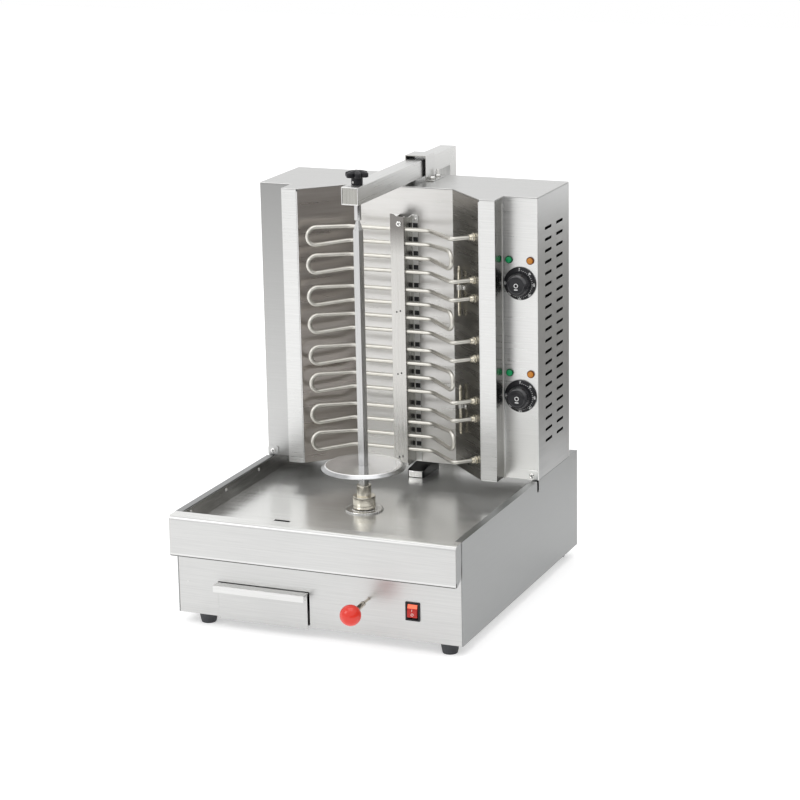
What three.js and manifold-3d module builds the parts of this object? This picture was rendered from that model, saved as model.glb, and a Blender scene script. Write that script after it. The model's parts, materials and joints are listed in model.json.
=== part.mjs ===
// Vertical rotisserie broiler: a counter-top machine with four sheathed heating
// elements in a concave reflector, a motor-driven spit in front of them and a
// drip basin with a drawer below.
// Millimetres, +Z up. Inside the machine group X is to the right, Y runs from
// the front panel (Y = 0) to the back, Z = 0 is the underside of the base box.
import * as THREE from 'three';
import { mergeVertices } from 'three/addons/utils/BufferGeometryUtils.js';
import Module from 'manifold-3d';

const wasm = await Module();
wasm.setup();

// ---------------------------------------------------------------- dimensions
const T = 2;                    // sheet thickness of the folded stainless panels
const GAP = 0.3;                // assembly gap between touching pieces
const HALF_W = 290;             // half width of base and tower
const BASE_D = 640;             // depth of the base box
const BASE_H = 200;             // height of the base side panels
const APRON_OUT = 30;           // how far the tray apron stands out of the front
const APRON_Z = 121;            // lower edge of the apron
const TRAY_FLOOR = 166;         // upper face of the basin floor
const FOOT_H = 22;              // rubber foot height below the base
const TOWER_Y = 410;            // front face of the outer tower panels
const TOWER_BACK = 592;         // back face of the tower
const TOWER_TOP = 757.3;        // upper face of the tower's top plate
const STRIP_Y = 362;            // front face of the narrow front strips
const STRIP_X0 = 190;           // inner edge of the strips
const STRIP_X1 = 222;           // outer edge of the strips (return wall)
const REFL_Y = 450;             // face of the reflector's middle panel
const REFL_X = 102;             // half width of the reflector's middle panel
const TUBE = 34;                // square arm tube, outside
const ARM_Z = 783;              // arm tube axis height
const ARM_FRONT = 190;          // open front end of the arm tube
const POST_Y = 653;             // front face of the rear post
const SPIT_Y = 226;             // spit axis
const BAR = 14;                 // square spit bar
const DISC_R = 81.5;            // drip disc, outside of its sloping rim
const DISC_TOP = 256.5;         // flat upper face of the drip disc
const ELEM_D = 8;               // heating element sheath
const ELEM_Y = 410;             // plane of the elements' middle runs
const ELEM_TOP = 680.5;         // height of the uppermost run
const ELEM_PITCH = 119.2;       // height from one element to the next
const RUN_PITCH = 27.8;         // spacing of the four runs in one element
const LEVER = { x: 104.5, z: 71 };
const SWITCH = { x: 191.8, z: 56.6 };
const KNOB_X = 254.6;
const KNOB_Z = [589.5, 367.3];
const LAMP_X = [232.3, 275.3];
const LAMP_Z = [634.8, 412.3];
const FRONT_Y = -105;           // front-most point (ball of the lever)
const REAR_Y = POST_Y + TUBE;   // rear-most point (back of the post)

// ----------------------------------------------------------------- materials
const mat = (color, roughness, metalness) =>
  new THREE.MeshStandardMaterial({ color, roughness, metalness });
const STEEL = () => mat(0xc9c9c6, 0.35, 1);
const STEEL_BRIGHT = () => mat(0xdcdcda, 0.15, 1);
const CHROME = () => mat(0xe2e2e2, 0.08, 1);
const SHEATH = () => mat(0xbdb8a8, 0.35, 1);
const BRASS = () => mat(0xc2a873, 0.35, 1);
const RUBBER = () => mat(0x202124, 0.85, 0);
const BLACK = () => mat(0x17181a, 0.4, 0);
const RED = () => mat(0xd8362c, 0.25, 0);
const ALU = () => mat(0x9b9da0, 0.45, 1);

// ------------------------------------------------------------------- helpers
function solid(geometry) {
  const g = geometry.clone();
  g.deleteAttribute('normal');
  g.deleteAttribute('uv');
  const m = mergeVertices(g, 1e-4), tri = new Uint32Array(m.index.array);
  const build = () => new wasm.Manifold(new wasm.Mesh({
    numProp: 3, vertProperties: new Float32Array(m.attributes.position.array), triVerts: tri,
  }));
  const first = build();
  if (first.volume() > 0) return first;
  for (let i = 0; i < tri.length; i += 3) [tri[i + 1], tri[i + 2]] = [tri[i + 2], tri[i + 1]];
  return build();
}
function geometryOf(manifold) {
  const m = manifold.getMesh();
  const g = new THREE.BufferGeometry();
  g.setAttribute('position', new THREE.BufferAttribute(new Float32Array(m.vertProperties), 3));
  g.setIndex(new THREE.BufferAttribute(new Uint32Array(m.triVerts), 1));
  g.computeVertexNormals();
  return g;
}
const box = (x0, x1, y0, y1, z0, z1) => solid(new THREE.BoxGeometry(x1 - x0, y1 - y0, z1 - z0)
  .translate((x0 + x1) / 2, (y0 + y1) / 2, (z0 + z1) / 2));
const cylZ = (x, y, r, z0, z1, n = 24) => solid(new THREE.CylinderGeometry(r, r, z1 - z0, n)
  .rotateX(Math.PI / 2).translate(x, y, (z0 + z1) / 2));
const cylY = (x, z, r, y0, y1, n = 24) => solid(new THREE.CylinderGeometry(r, r, y1 - y0, n)
  .translate(x, (y0 + y1) / 2, z));
const shapeOf = (pts) => new THREE.Shape(pts.map(([a, b]) => new THREE.Vector2(a, b)));
const extrude = (shape, depth, curveSegments = 6) =>
  new THREE.ExtrudeGeometry(shape, { depth, bevelEnabled: false, curveSegments });
const basis = (u, v, w, o) => new THREE.Matrix4().makeBasis(
  new THREE.Vector3(...u), new THREE.Vector3(...v), new THREE.Vector3(...w)).setPosition(...o);
// outline in X,Y carried up Z
const prismZ = (pts, z0, z1) => solid(extrude(shapeOf(pts), z1 - z0).translate(0, 0, z0));
// outline in Y,Z carried along X
const prismX = (pts, x0, x1) => solid(extrude(shapeOf(pts), x1 - x0)
  .applyMatrix4(basis([0, 1, 0], [0, 0, 1], [1, 0, 0], [x0, 0, 0])));
// outline in X,Z carried along Y
const prismY = (pts, y0, y1) => solid(extrude(shapeOf(pts), y1 - y0)
  .applyMatrix4(basis([1, 0, 0], [0, 0, 1], [0, -1, 0], [0, y1, 0])));
const lathe = (pts, n = 24) => solid(new THREE.LatheGeometry(
  pts.map(([r, z]) => new THREE.Vector2(r, z)), n).rotateX(Math.PI / 2));
const sum = (...list) => list.reduce((a, b) => a.add(b));
const arc = (cx, cy, r, a0, a1, n) => Array.from({ length: n + 1 }, (_, i) => {
  const a = (a0 + (a1 - a0) * i / n) * Math.PI / 180;
  return [cx + r * Math.cos(a), cy + r * Math.sin(a)];
});

// A path through given stations, so a swept tube spends its rings on the bends.
class StationPath extends THREE.Curve {
  constructor(points) { super(); this.points = points; }
  getPoint(t) {
    const n = this.points.length - 1, k = Math.min(n - 1, Math.floor(t * n));
    return this.points[k].clone().lerp(this.points[k + 1], t * n - k);
  }
  getPointAt(t) { return this.getPoint(t); }
  getSpacedPoints() { return this.points.map((p) => p.clone()); }
  getTangentAt(t) {
    const n = this.points.length - 1, k = Math.round(t * n);
    const a = this.points[Math.max(0, k - 1)], b = this.points[k], c = this.points[Math.min(n, k + 1)];
    const d = new THREE.Vector3();
    if (k > 0) d.add(b.clone().sub(a).normalize());
    if (k < n) d.add(c.clone().sub(b).normalize());
    return d.normalize();
  }
}
// corner points -> stations with rounded corners
function rounded(corners, radius, steps) {
  const P = corners.map((p) => new THREE.Vector3(...p)), out = [P[0]];
  for (let i = 1; i < P.length - 1; i++) {
    const a = P[i - 1].clone().sub(P[i]).normalize(), b = P[i + 1].clone().sub(P[i]).normalize();
    const half = a.angleTo(b) / 2, r = Array.isArray(radius) ? radius[i] : radius;
    const cut = r / Math.tan(half), n = Array.isArray(steps) ? steps[i] : steps;
    const centre = P[i].clone().add(a.clone().add(b).normalize().multiplyScalar(r / Math.sin(half)));
    const s = P[i].clone().addScaledVector(a, cut).sub(centre), e = P[i].clone().addScaledVector(b, cut).sub(centre);
    const sweep = s.angleTo(e), axis = s.clone().cross(e).normalize();
    for (let k = 0; k <= n; k++) out.push(s.clone().applyAxisAngle(axis, sweep * k / n).add(centre));
  }
  out.push(P[P.length - 1]);
  return out;
}
function sweep(stations, r, sides) {
  const ring = Array.from({ length: sides }, (_, i) => {
    const a = Math.PI * (2 * i + 1) / sides, q = r / Math.cos(Math.PI / sides) * 0.985;
    return [q * Math.cos(a), q * Math.sin(a)];
  });
  return solid(new THREE.ExtrudeGeometry(shapeOf(ring), {
    steps: stations.length - 1, bevelEnabled: false, extrudePath: new StationPath(stations),
  }));
}

const machine = new THREE.Group();
function put(parent, name, shape, material, position = [0, 0, 0], rotation = [0, 0, 0]) {
  const mesh = new THREE.Mesh(shape.getMesh ? geometryOf(shape) : shape, material);
  mesh.name = name;
  mesh.position.set(...position);
  mesh.rotation.set(...rotation);
  parent.add(mesh);
  return mesh;
}

// ===================================================================== base
const base = new THREE.Group();
machine.add(base);

// side panel: outer sheet, inward flanges, relief slit just ahead of the tower
function sidePanel(s) {
  const X = (a, b) => (s > 0 ? [a, b] : [-b, -a]);
  const plate = box(...X(HALF_W - T, HALF_W), 0, BASE_D, 0, BASE_H);
  const top = box(...X(HALF_W - 14, HALF_W - 1), GAP, BASE_D - T - GAP, BASE_H - T, BASE_H);
  const low = box(...X(HALF_W - 22, HALF_W - 1), T + GAP, BASE_D - T - GAP, 0, T);
  const slit = prismX([[401.5, 181], [403.2, 178.2], [406.5, 177], [409.8, 178.2], [411.5, 181], [411.5, BASE_H + 1], [401.5, BASE_H + 1]], ...X(HALF_W - 20, HALF_W + 1));
  return sum(plate, top, low).subtract(slit);
}
put(base, 'base_side_right', sidePanel(1), STEEL());
put(base, 'base_side_left', sidePanel(-1), STEEL());

// lower front panel with the drawer notch, lever hole and switch cut-out
const frontPanel = box(-HALF_W + T + GAP, HALF_W - T - GAP, 0, T, 0, 160)
  .subtract(box(-205.4, -16.5, -1, T + 1, -1, 69.4))
  .subtract(cylY(LEVER.x, LEVER.z, 3.4, -1, T + 1, 16))
  .subtract(box(SWITCH.x - 12.4, SWITCH.x + 12.4, -1, T + 1, SWITCH.z - 16, SWITCH.z + 16));
put(base, 'lower_front_panel', frontPanel, STEEL());

// back panel with the slot for the carriage link and the hole for the cable gland
const backPanel = sum(
  box(-HALF_W + T + GAP, HALF_W - T - GAP, BASE_D - T, BASE_D, 5, 195.4),
  box(-HALF_W + 15, HALF_W - 15, BASE_D - 4.4, BASE_D - T + 0.5, 193.4, 195.4))
  .subtract(box(-28, 28, BASE_D - 10, BASE_D + 1, 37, 48))
  .subtract(cylY(-200, 60, 8.3, BASE_D - 10, BASE_D + 1, 24));
put(base, 'base_back_panel', backPanel, STEEL());

put(base, 'bottom_plate', box(-HALF_W + T + GAP, HALF_W - T - GAP, T + GAP, BASE_D - T - GAP, T + GAP, 2 * T + GAP), STEEL());

// tray: rolled front rim with apron, recessed basin, drain slot and shaft slot
const ro = 9, rimBack = -GAP;
const apronOuter = [[-APRON_OUT, APRON_Z], ...arc(-APRON_OUT + ro, BASE_H - ro, ro, 180, 90, 5), [rimBack, BASE_H]];
const apronBand = [
  ...apronOuter, [rimBack, TRAY_FLOOR - 3.5], [rimBack - T, TRAY_FLOOR - 3.5], [rimBack - T, BASE_H - T],
  ...arc(-APRON_OUT + ro, BASE_H - ro, ro - T, 90, 180, 5), [-APRON_OUT + T, APRON_Z]];
const endCap = [...arc(-APRON_OUT + ro, BASE_H - ro, ro - 1, 180, 90, 5), [rimBack - 1, BASE_H - 1],
  [rimBack - 1, TRAY_FLOOR - 6], [rimBack - 6, APRON_Z + 9.5], [-APRON_OUT + 8, APRON_Z + 0.5], [-APRON_OUT + 1, APRON_Z + 0.5]];
const trayX = HALF_W - 0.7, wallX = HALF_W - 13;
const tray = sum(
  prismX(apronBand, -trayX, trayX),
  prismX(endCap, trayX - T, trayX),
  prismX(endCap, -trayX, -trayX + T),
  box(-wallX, wallX, -1.6, 632, TRAY_FLOOR - T, BASE_H - T - GAP)
    .subtract(box(-wallX + T, wallX - T, -1, 630, TRAY_FLOOR, BASE_H)))
  .subtract(box(-11.5, 11.5, SPIT_Y - 23.5, SPIT_Y + 23.5, TRAY_FLOOR - 5, TRAY_FLOOR + 1))
  .subtract(box(-135, -103, 103, 111, TRAY_FLOOR - 5, TRAY_FLOOR + 1));
put(base, 'drip_tray', tray, STEEL());

// drawer runners: angle strips on the bottom plate
const runner = (x0, x1) => sum(box(x0, x1, 12, 160, 4.6, 6.6), box(x0, x0 + T, 12, 160, 4.6, 30));
put(base, 'drawer_runner_left', runner(-208, -206.3 + 1.5), STEEL());
put(base, 'drawer_runner_right', box(-19, -17, 12, 160, 4.6, 30), STEEL());

// rubber feet
const foot = lathe([[0, -FOOT_H], [13, -FOOT_H], [14.4, -FOOT_H + 1.6], [18.4, -0.6], [18.4, -GAP], [5, -GAP], [5, 2], [0, 2]], 20);
for (const [name, x, y] of [
  ['foot_front_left', -240, 24], ['foot_front_right', 256, 21],
  ['foot_rear_left', -240, BASE_D - 24], ['foot_rear_right', 256, BASE_D - 24]]) {
  put(base, name, foot, RUBBER(), [x, y, 0]);
}

// rocker switch housing: bezel in front of the panel, cup behind it
const housing = sum(box(-14.2, 14.2, -2.6, -GAP, -17.9, 17.9), box(-12.1, 12.1, -1, 26, -15.7, 15.7))
  .subtract(box(-10.3, 10.3, -3, 16, -14.5, 14.5));
put(base, 'switch_housing', housing, BLACK(), [SWITCH.x, 0, SWITCH.z]);

// cable gland in the back panel, open through its middle
put(base, 'cable_gland', lathe([[4.5, -12], [8, -12], [8, GAP], [12, GAP], [12, 6], [9.5, 8], [8, 20], [4.5, 20], [4.5, -12]], 20),
  BLACK(), [-200, BASE_D, 60], [-Math.PI / 2, 0, 0]);

// rails that carry the spit carriage
const rail = (x0) => sum(box(x0, x0 + 18, 185, 622, 37.7, 39.7), box(x0, x0 + T, 185, 622, 4.6, 39.7),
  box(x0, x0 + 18, 185, 622, 4.6, 6.6));
put(base, 'slide_rail_right', rail(54), STEEL());
put(base, 'slide_rail_left', rail(-72), STEEL());

// =================================================================== drawer
const drawer = new THREE.Group();
machine.add(drawer);
const drawerBody = sum(
  box(-204, -20, -3, -1, -3.4, 68),                    // face
  box(-206, -18, -22.5, -1, 66.5, 68.2),               // lip, shelf
  box(-206, -18, -22.5, -21, 55, 68.2),                // lip, turned-down edge
  box(-203, -21, -2, 155, 5, 62).subtract(box(-201.5, -22.5, -1.2, 153.5, 6.5, 63)));
put(drawer, 'drip_drawer', drawerBody, STEEL());

// =================================================================== rocker
const rocker = new THREE.Group();
machine.add(rocker);
const rockerTilt = 10 * Math.PI / 180;
put(rocker, 'switch_rocker', prismX([[4, -10], [4, 10], [-9.2, 12.6], [-10.8, 0], [-9.2, -12.6]].map(([y, z]) => [y, z]), -9.9, 9.9),
  RED(), [SWITCH.x, 6, SWITCH.z], [-rockerTilt, 0, 0]);

// ==================================================================== tower
const tower = new THREE.Group();
machine.add(tower);
const z0 = BASE_H + GAP, z1 = TOWER_TOP - T - GAP;   // panels stand on the base and carry the top plate

// side panels with two columns of louvre slots
function towerSide(s) {
  const X = (a, b) => (s > 0 ? [a, b] : [-b, -a]);
  let p = sum(
    box(...X(HALF_W - T, HALF_W), TOWER_Y + T + GAP, TOWER_BACK - T - GAP, z0, z1),
    box(...X(HALF_W - 14, HALF_W - 1), TOWER_Y + T + GAP, TOWER_BACK - T - GAP, z0, z0 + T));
  for (let i = 0; i < 20; i++) {
    const z = 269 + 22.15 * i;
    p = p.subtract(box(...X(HALF_W - 5, HALF_W + 1), 452, 489, z - 1.8, z + 1.8))
      .subtract(box(...X(HALF_W - 5, HALF_W + 1), 517, 554, z - 1.8, z + 1.8));
  }
  return p;
}
put(tower, 'tower_side_right', towerSide(1), STEEL());
put(tower, 'tower_side_left', towerSide(-1), STEEL());

// back panel in one piece with the floor pan that closes the tower below
put(tower, 'tower_back_pan', sum(
  box(-HALF_W, HALF_W, TOWER_BACK - T, TOWER_BACK, z0, z1),
  prismZ([[-286, TOWER_BACK - 1], [-286, 414], [-145, 414], [-106, 454], [106, 454], [145, 414], [286, 414], [286, TOWER_BACK - 1]]
    .reverse(), 203.3, 205.3)), STEEL());

// top plate with the plan of the concave front
put(tower, 'tower_top', prismZ([
  [-HALF_W, TOWER_BACK], [-HALF_W, TOWER_Y], [-STRIP_X1, TOWER_Y], [-STRIP_X1, STRIP_Y], [-STRIP_X0, STRIP_Y],
  [-REFL_X, REFL_Y], [REFL_X, REFL_Y], [STRIP_X0, STRIP_Y], [STRIP_X1, STRIP_Y], [STRIP_X1, TOWER_Y],
  [HALF_W, TOWER_Y], [HALF_W, TOWER_BACK]], TOWER_TOP - T, TOWER_TOP), STEEL());

// outer front panels with a fixing pad at the lower corner
const pad = (x0, x1) => prismY([[x0, z0], [x1, z0], ...arc(x1 - 5, z0 + 13.5, 5, 0, 90, 3), ...arc(x0 + 5, z0 + 13.5, 5, 90, 180, 3)],
  TOWER_Y - T, TOWER_Y + 0.5);
const xf = STRIP_X1 - T;                                   // the panels' flanges come forward to meet the strips
put(tower, 'front_panel_left', sum(box(-HALF_W, -xf, TOWER_Y, TOWER_Y + T, z0, z1), box(-STRIP_X1, -xf, 401, TOWER_Y + 1, z0, z1), pad(-HALF_W, -HALF_W + 23)), STEEL());
let control = sum(box(xf, HALF_W, TOWER_Y, TOWER_Y + T, z0, z1), box(xf, STRIP_X1, 401, TOWER_Y + 1, z0, z1), pad(HALF_W - 23, HALF_W));
for (const z of LAMP_Z) for (const x of LAMP_X) control = control.subtract(cylY(x, z, 5.3, TOWER_Y - 1, TOWER_Y + 3, 16));
for (const z of KNOB_Z) control = control.subtract(cylY(KNOB_X, z, 6, TOWER_Y - 1, TOWER_Y + 3, 16));
put(tower, 'control_panel', control, STEEL());

// narrow strips: front face and the wall that returns to the outer panel
const strip = [[STRIP_X1 - T, 400.5], [STRIP_X1 - T, STRIP_Y + T], [STRIP_X0, STRIP_Y + T], [STRIP_X0, STRIP_Y], [STRIP_X1, STRIP_Y], [STRIP_X1, 400.5]];
put(tower, 'front_strip_right', prismZ(strip, 203.3, z1), STEEL());
put(tower, 'front_strip_left', prismZ(strip.map(([x, y]) => [-x, y]).reverse(), 203.3, z1), STEEL());

// three-panel reflector
const rf = 188, ry = 364.3, k = T * Math.SQRT2, kf = T * Math.tan(Math.PI / 8);
const reflector = [[-rf, ry], [-REFL_X, REFL_Y], [REFL_X, REFL_Y], [rf, ry],
  [rf + k / 2, ry + k / 2], [REFL_X + kf, REFL_Y + T], [-REFL_X - kf, REFL_Y + T], [-rf - k / 2, ry + k / 2]];
const ANG = [Math.SQRT1_2, Math.SQRT1_2];                 // normal of the right angled panel, outward
const dRefl = (REFL_X + REFL_Y) / Math.SQRT2;             // its distance from the axis origin
const glandX = 172.7;                                     // where the element ends pass through it
const glandPos = [glandX, REFL_X + REFL_Y - glandX];
const runZ = (e, i) => ELEM_TOP - ELEM_PITCH * e - RUN_PITCH * i;
let refl = prismZ(reflector.slice().reverse(), 203.3, z1);
for (let e = 0; e < 4; e++) for (const i of [0, 3]) {
  refl = refl.subtract(solid(new THREE.CylinderGeometry(6.9, 6.9, 12, 10).rotateZ(-Math.PI / 2)
    .rotateZ(Math.PI / 4).translate(glandPos[0], glandPos[1], runZ(e, i))));
}
put(tower, 'reflector', refl, STEEL_BRIGHT());

// gland strip: hexagonal element fittings on one bar behind the angled panel
let glands = box(-15, 15, 3.2, 6.2, 225, 695);
for (let e = 0; e < 4; e++) for (const i of [0, 3]) {
  const hex = (r, y0, y1, n) => solid(new THREE.CylinderGeometry(r, r, y1 - y0, n).translate(0, (y0 + y1) / 2, runZ(e, i)));
  glands = sum(glands, hex(6, -4, 4, 10), hex(8.5, -7.5, -0.6, 6));
}
for (let e = 0; e < 4; e++) for (const i of [0, 3]) {
  glands = glands.subtract(cylY(0, runZ(e, i), ELEM_D / 2 + 1.1, -13, 1, 10));
}
put(tower, 'element_glands', glands, BRASS(), [glandPos[0], glandPos[1], 0], [0, 0, -Math.PI / 4]);

// heating elements: four runs, two bends on the left, one on the right, both
// ends turned square into the angled panel
function element() {
  const L = [-98, ELEM_Y], R = [70, ELEM_Y];             // ends of the straight middle runs
  const LE = [-149.6, 361], RE = [126.4, 358.3];         // where the hairpins start
  const corner = [139.6, 346.2];                            // outer corner of the end runs
  const tip = [glandPos[0] + 0.2 * ANG[0], glandPos[1] + 0.2 * ANG[1]];
  const r = 17.5, z = (i) => -RUN_PITCH * i;
  const dirL = new THREE.Vector2(LE[0] - L[0], LE[1] - L[1]).normalize();
  const dirR = new THREE.Vector2(RE[0] - R[0], RE[1] - R[1]).normalize();
  const V = (p, h) => new THREE.Vector3(p[0], p[1], h);
  const hairpin = (E, dir, zc, up) => Array.from({ length: 7 }, (_, s) => {
    const a = Math.PI * (s / 6 - 0.5), w = r * Math.cos(a);
    return new THREE.Vector3(E[0] + dir.x * w, E[1] + dir.y * w, zc + (up ? 1 : -1) * r * Math.sin(a));
  });
  const soft = (a, b, c) => {                            // two stations round a shallow bend
    const A = a.clone().sub(b).setLength(6), C = c.clone().sub(b).setLength(6);
    return [b.clone().add(A), b.clone().add(C)];
  };
  const out = [];
  const c1 = -RUN_PITCH / 2, c2 = -1.5 * RUN_PITCH, c3 = -2.5 * RUN_PITCH;
  out.push(V(tip, z(0)), ...rounded([[...tip, z(0)], [...corner, z(0)], [...R, z(0)]], 9, 3).slice(1, -1));
  out.push(...soft(V(corner, z(0)), V(R, z(0)), V(L, z(0))));
  out.push(...soft(V(R, z(0)), V(L, z(0)), V(LE, c1 + r)));
  out.push(...hairpin(LE, dirL, c1, false));
  out.push(...soft(V(LE, c1 - r), V(L, z(1)), V(R, z(1))));
  out.push(...soft(V(L, z(1)), V(R, z(1)), V(RE, c2 + r)));
  out.push(...hairpin(RE, dirR, c2, false));
  out.push(...soft(V(RE, c2 - r), V(R, z(2)), V(L, z(2))));
  out.push(...soft(V(R, z(2)), V(L, z(2)), V(LE, c3 + r)));
  out.push(...hairpin(LE, dirL, c3, false));
  out.push(...soft(V(LE, c3 - r), V(L, z(3)), V(R, z(3))));
  out.push(...soft(V(L, z(3)), V(R, z(3)), V(corner, z(3))));
  out.push(...rounded([[...R, z(3)], [...corner, z(3)], [...tip, z(3)]], 9, 3).slice(1, -1), V(tip, z(3)));
  return sweep(out, ELEM_D / 2, 6);
}
const elementShape = element();
for (let e = 0; e < 4; e++) {
  put(tower, `heating_element_${e + 1}`, elementShape, SHEATH(), [0, 0, ELEM_TOP - ELEM_PITCH * e]);
}

// comb bracket that carries the runs, and the bar that closes it in front
const combX = 4;
const leg = [[447.7 + 1, 205], [447.7 + 1, 701.5], [436, 701], [422, 702.5], [405.3, 706]];
for (let e = 0; e < 4; e++) for (let i = 0; i < 4; i++) {
  const z = runZ(e, i);
  leg.push([405.3, z + 5], [415.5, z + 5], [415.5, z - 5], [405.3, z - 5]);
}
leg.push([405.3, 205]);
put(tower, 'comb_bracket', sum(
  box(combX - 30, combX + 26, 447.7, 449.7, 205, 702).subtract(box(combX - 12, combX + 12, 440, 455, 686, 710)),
  prismX(leg, combX - 14, combX - 12), prismX(leg, combX + 12, combX + 14)), STEEL());
put(tower, 'clamp_bar', prismY([[combX - 14.2, 212], [combX + 14.2, 212], [combX + 14.2, 705.5], [combX - 3, 706.5], [combX - 7, 710], [combX - 14.2, 711]], 402.8, 405)
  .subtract(cylY(combX + 4, 692, 2.6, 400, 407, 10)), STEEL());

// thermostat bulbs and their clips on the right angled panel
const bulb = lathe([[0, 0], [2.4, 0.8], [4, 3.5], [4, 96.5], [2.4, 99.2], [0, 100]], 12);
const bulbAt = [126, 418];
// plan outline in the panel's own frame: x along the panel, the front at negative y
const clipShape = prismZ([[19, -0.3], [19, -1.5], ...arc(0, -5.6, 5.4, 50, -230, 9), ...arc(0, -5.6, 4.3, -230, 60, 9), [2.2, -0.3]], -5, 5);
for (const [n, zb] of [['upper', 514], ['lower', 277]]) {
  put(tower, `thermostat_bulb_${n}`, bulb, STEEL_BRIGHT(), [bulbAt[0], bulbAt[1], zb]);
  const foot0 = [bulbAt[0] + 5.6 * ANG[0], bulbAt[1] + 5.6 * ANG[1]];
  put(tower, `bulb_clip_${n}`, clipShape, STEEL_BRIGHT(), [foot0[0], foot0[1], zb + 58], [0, 0, -Math.PI / 4]);
}

// thermostats behind the control panel
const thermostat = box(-23, 23, 0, 42, -23, 23).subtract(cylY(0, 0, 4.5, -1, 14, 12));
put(tower, 'thermostat_upper', thermostat, ALU(), [KNOB_X, TOWER_Y + T + GAP, KNOB_Z[0]]);
put(tower, 'thermostat_lower', thermostat, ALU(), [KNOB_X, TOWER_Y + T + GAP, KNOB_Z[1]]);

// pilot lamps
const lamp = lathe([[0, -7.5], [4.5, -7], [6.4, -5.4], [6.8, -3.4], [7.6, -3], [7.6, -GAP], [4.9, -GAP], [4.9, 18], [0, 18]], 16);
for (const [n, x, z, c] of [
  ['lamp_green_upper', LAMP_X[0], LAMP_Z[0], 0x2fa35c], ['lamp_amber_upper', LAMP_X[1], LAMP_Z[0], 0xe07a2c],
  ['lamp_green_lower', LAMP_X[0], LAMP_Z[1], 0x2fa35c], ['lamp_amber_lower', LAMP_X[1], LAMP_Z[1], 0xe07a2c]]) {
  put(tower, n, lamp, mat(c, 0.2, 0), [x, TOWER_Y, z], [-Math.PI / 2, 0, 0]);
}

// hat-shaped guide on the tower's top, around the arm tube
put(tower, 'arm_guide', sum(
  box(-21.2, 22.3, 511, 558, 805.7, 807.3), box(20.7, 22.3, 511, 558, TOWER_TOP + GAP, 806.5), box(-21.2, -19.6, 511, 558, TOWER_TOP + GAP, 806.5),
  box(21, 38, 511, 572, TOWER_TOP + GAP, TOWER_TOP + GAP + T), box(-38, -20, 511, 572, TOWER_TOP + GAP, TOWER_TOP + GAP + T)), STEEL());

// rounded duct that comes forward from under the tower on the basin floor
put(tower, 'wiring_duct', prismX([[-2 + 458, 170], [456, 176], [458.5, 180.5], [540, 190], [540, TRAY_FLOOR + GAP], [459, TRAY_FLOOR + GAP]].reverse(), -6, 29)
  .intersect(prismZ([[-6, 545], [-6, 461], [-4.5, 457.5], [-1, 455.5], [24, 455.5], [27.5, 457.5], [29, 461], [29, 545]].reverse(), 160, 200)), CHROME());

// ==================================================================== knobs
const knobs = new THREE.Group();
machine.add(knobs);
const knob = lathe([[0, -25], [20, -25], [22.3, -23.2], [24, -6], [30.5, -4.2], [32, -3], [32, -0.8], [5.5, -0.8], [5.5, -0.3], [3, -0.3], [3, 11], [0, 11]], 24);
put(knobs, 'knob_upper', knob, BLACK(), [KNOB_X, TOWER_Y - 0.5, KNOB_Z[0]], [-Math.PI / 2, 0, 0]);
put(knobs, 'knob_lower', knob, BLACK(), [KNOB_X, TOWER_Y - 0.5, KNOB_Z[1]], [-Math.PI / 2, 0, 0]);

// ================================================================= carriage
const carriage = new THREE.Group();
machine.add(carriage);
put(carriage, 'carriage_plate', sum(
  box(-74, 74, 188, 420, 40, 44), box(-25, 25, 410, REAR_Y, 40, 44),
  box(60, 118, 214, 250, 40, 44), box(95, 118, 214, 217, 40, 84)), STEEL());
// geared motor: gearbox below the spit, motor barrel lying behind it
put(carriage, 'gear_motor', sum(
  box(-40, 40, 192, 276, 44.3, 116), cylZ(0, SPIT_Y, 18, 115, 128, 24), cylY(0, 80, 32, 275, 372, 24), cylY(0, 80, 9, 371, 380, 12))
  .subtract(cylZ(0, SPIT_Y, 10.6, 96, 130, 24)), ALU());
// push-pull rod: thin rod, thicker sleeve and red ball
const rodBend = [[0, 213.7, 0], [0, -16, 0], [0, -62, -2.57]];
const rodPath = rounded(rodBend, 12, 2);
put(carriage, 'lever_rod', sum(sweep(rodPath, 2.5, 12),
  solid(new THREE.CylinderGeometry(5, 5, 44, 16)).rotate([3.2, 0, 0]).translate([0, -47.5, -1.76])),
  CHROME(), [LEVER.x, 0, LEVER.z]);
put(carriage, 'lever_ball', solid(new THREE.SphereGeometry(20, 20, 12))
  .subtract(cylY(0, 0, 5.4, 12, 30, 16)), RED(), [LEVER.x, -85, LEVER.z - 3.86], [3.2 * Math.PI / 180, 0, 0]);
// arm tube and post: square tube mitred at the rear corner
const h = TUBE / 2, top = ARM_Z + h, bot = ARM_Z - h;
const armSide = [[ARM_FRONT, bot], [POST_Y, bot], [REAR_Y, top], [ARM_FRONT, top]];
const armVoid = [[ARM_FRONT - 5, bot + T], [POST_Y + T + 5, bot + T], [REAR_Y - T + 5, top - T], [ARM_FRONT - 5, top - T]];
put(carriage, 'arm_tube', prismX(armSide, -h, h).subtract(prismX(armVoid, -h + T, h - T))
  .add(box(-h + 1, h - 1, ARM_FRONT + 1.5, ARM_FRONT + 3.5, bot + 1, top - 1))
  .subtract(cylZ(0, SPIT_Y, 7.2, bot - 1, bot + 4, 20)).subtract(cylZ(0, SPIT_Y, 5.5, top - 4, top + 1, 20)), STEEL());
const g = GAP * Math.SQRT2;
const postSide = [[POST_Y, 44.3], [REAR_Y, 44.3], [REAR_Y, top - g], [POST_Y, bot - g]];
put(carriage, 'rear_post', prismX(postSide, -h, h).subtract(box(-h + T, h - T, POST_Y + T, REAR_Y - T, 40, 820)), STEEL());
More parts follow.
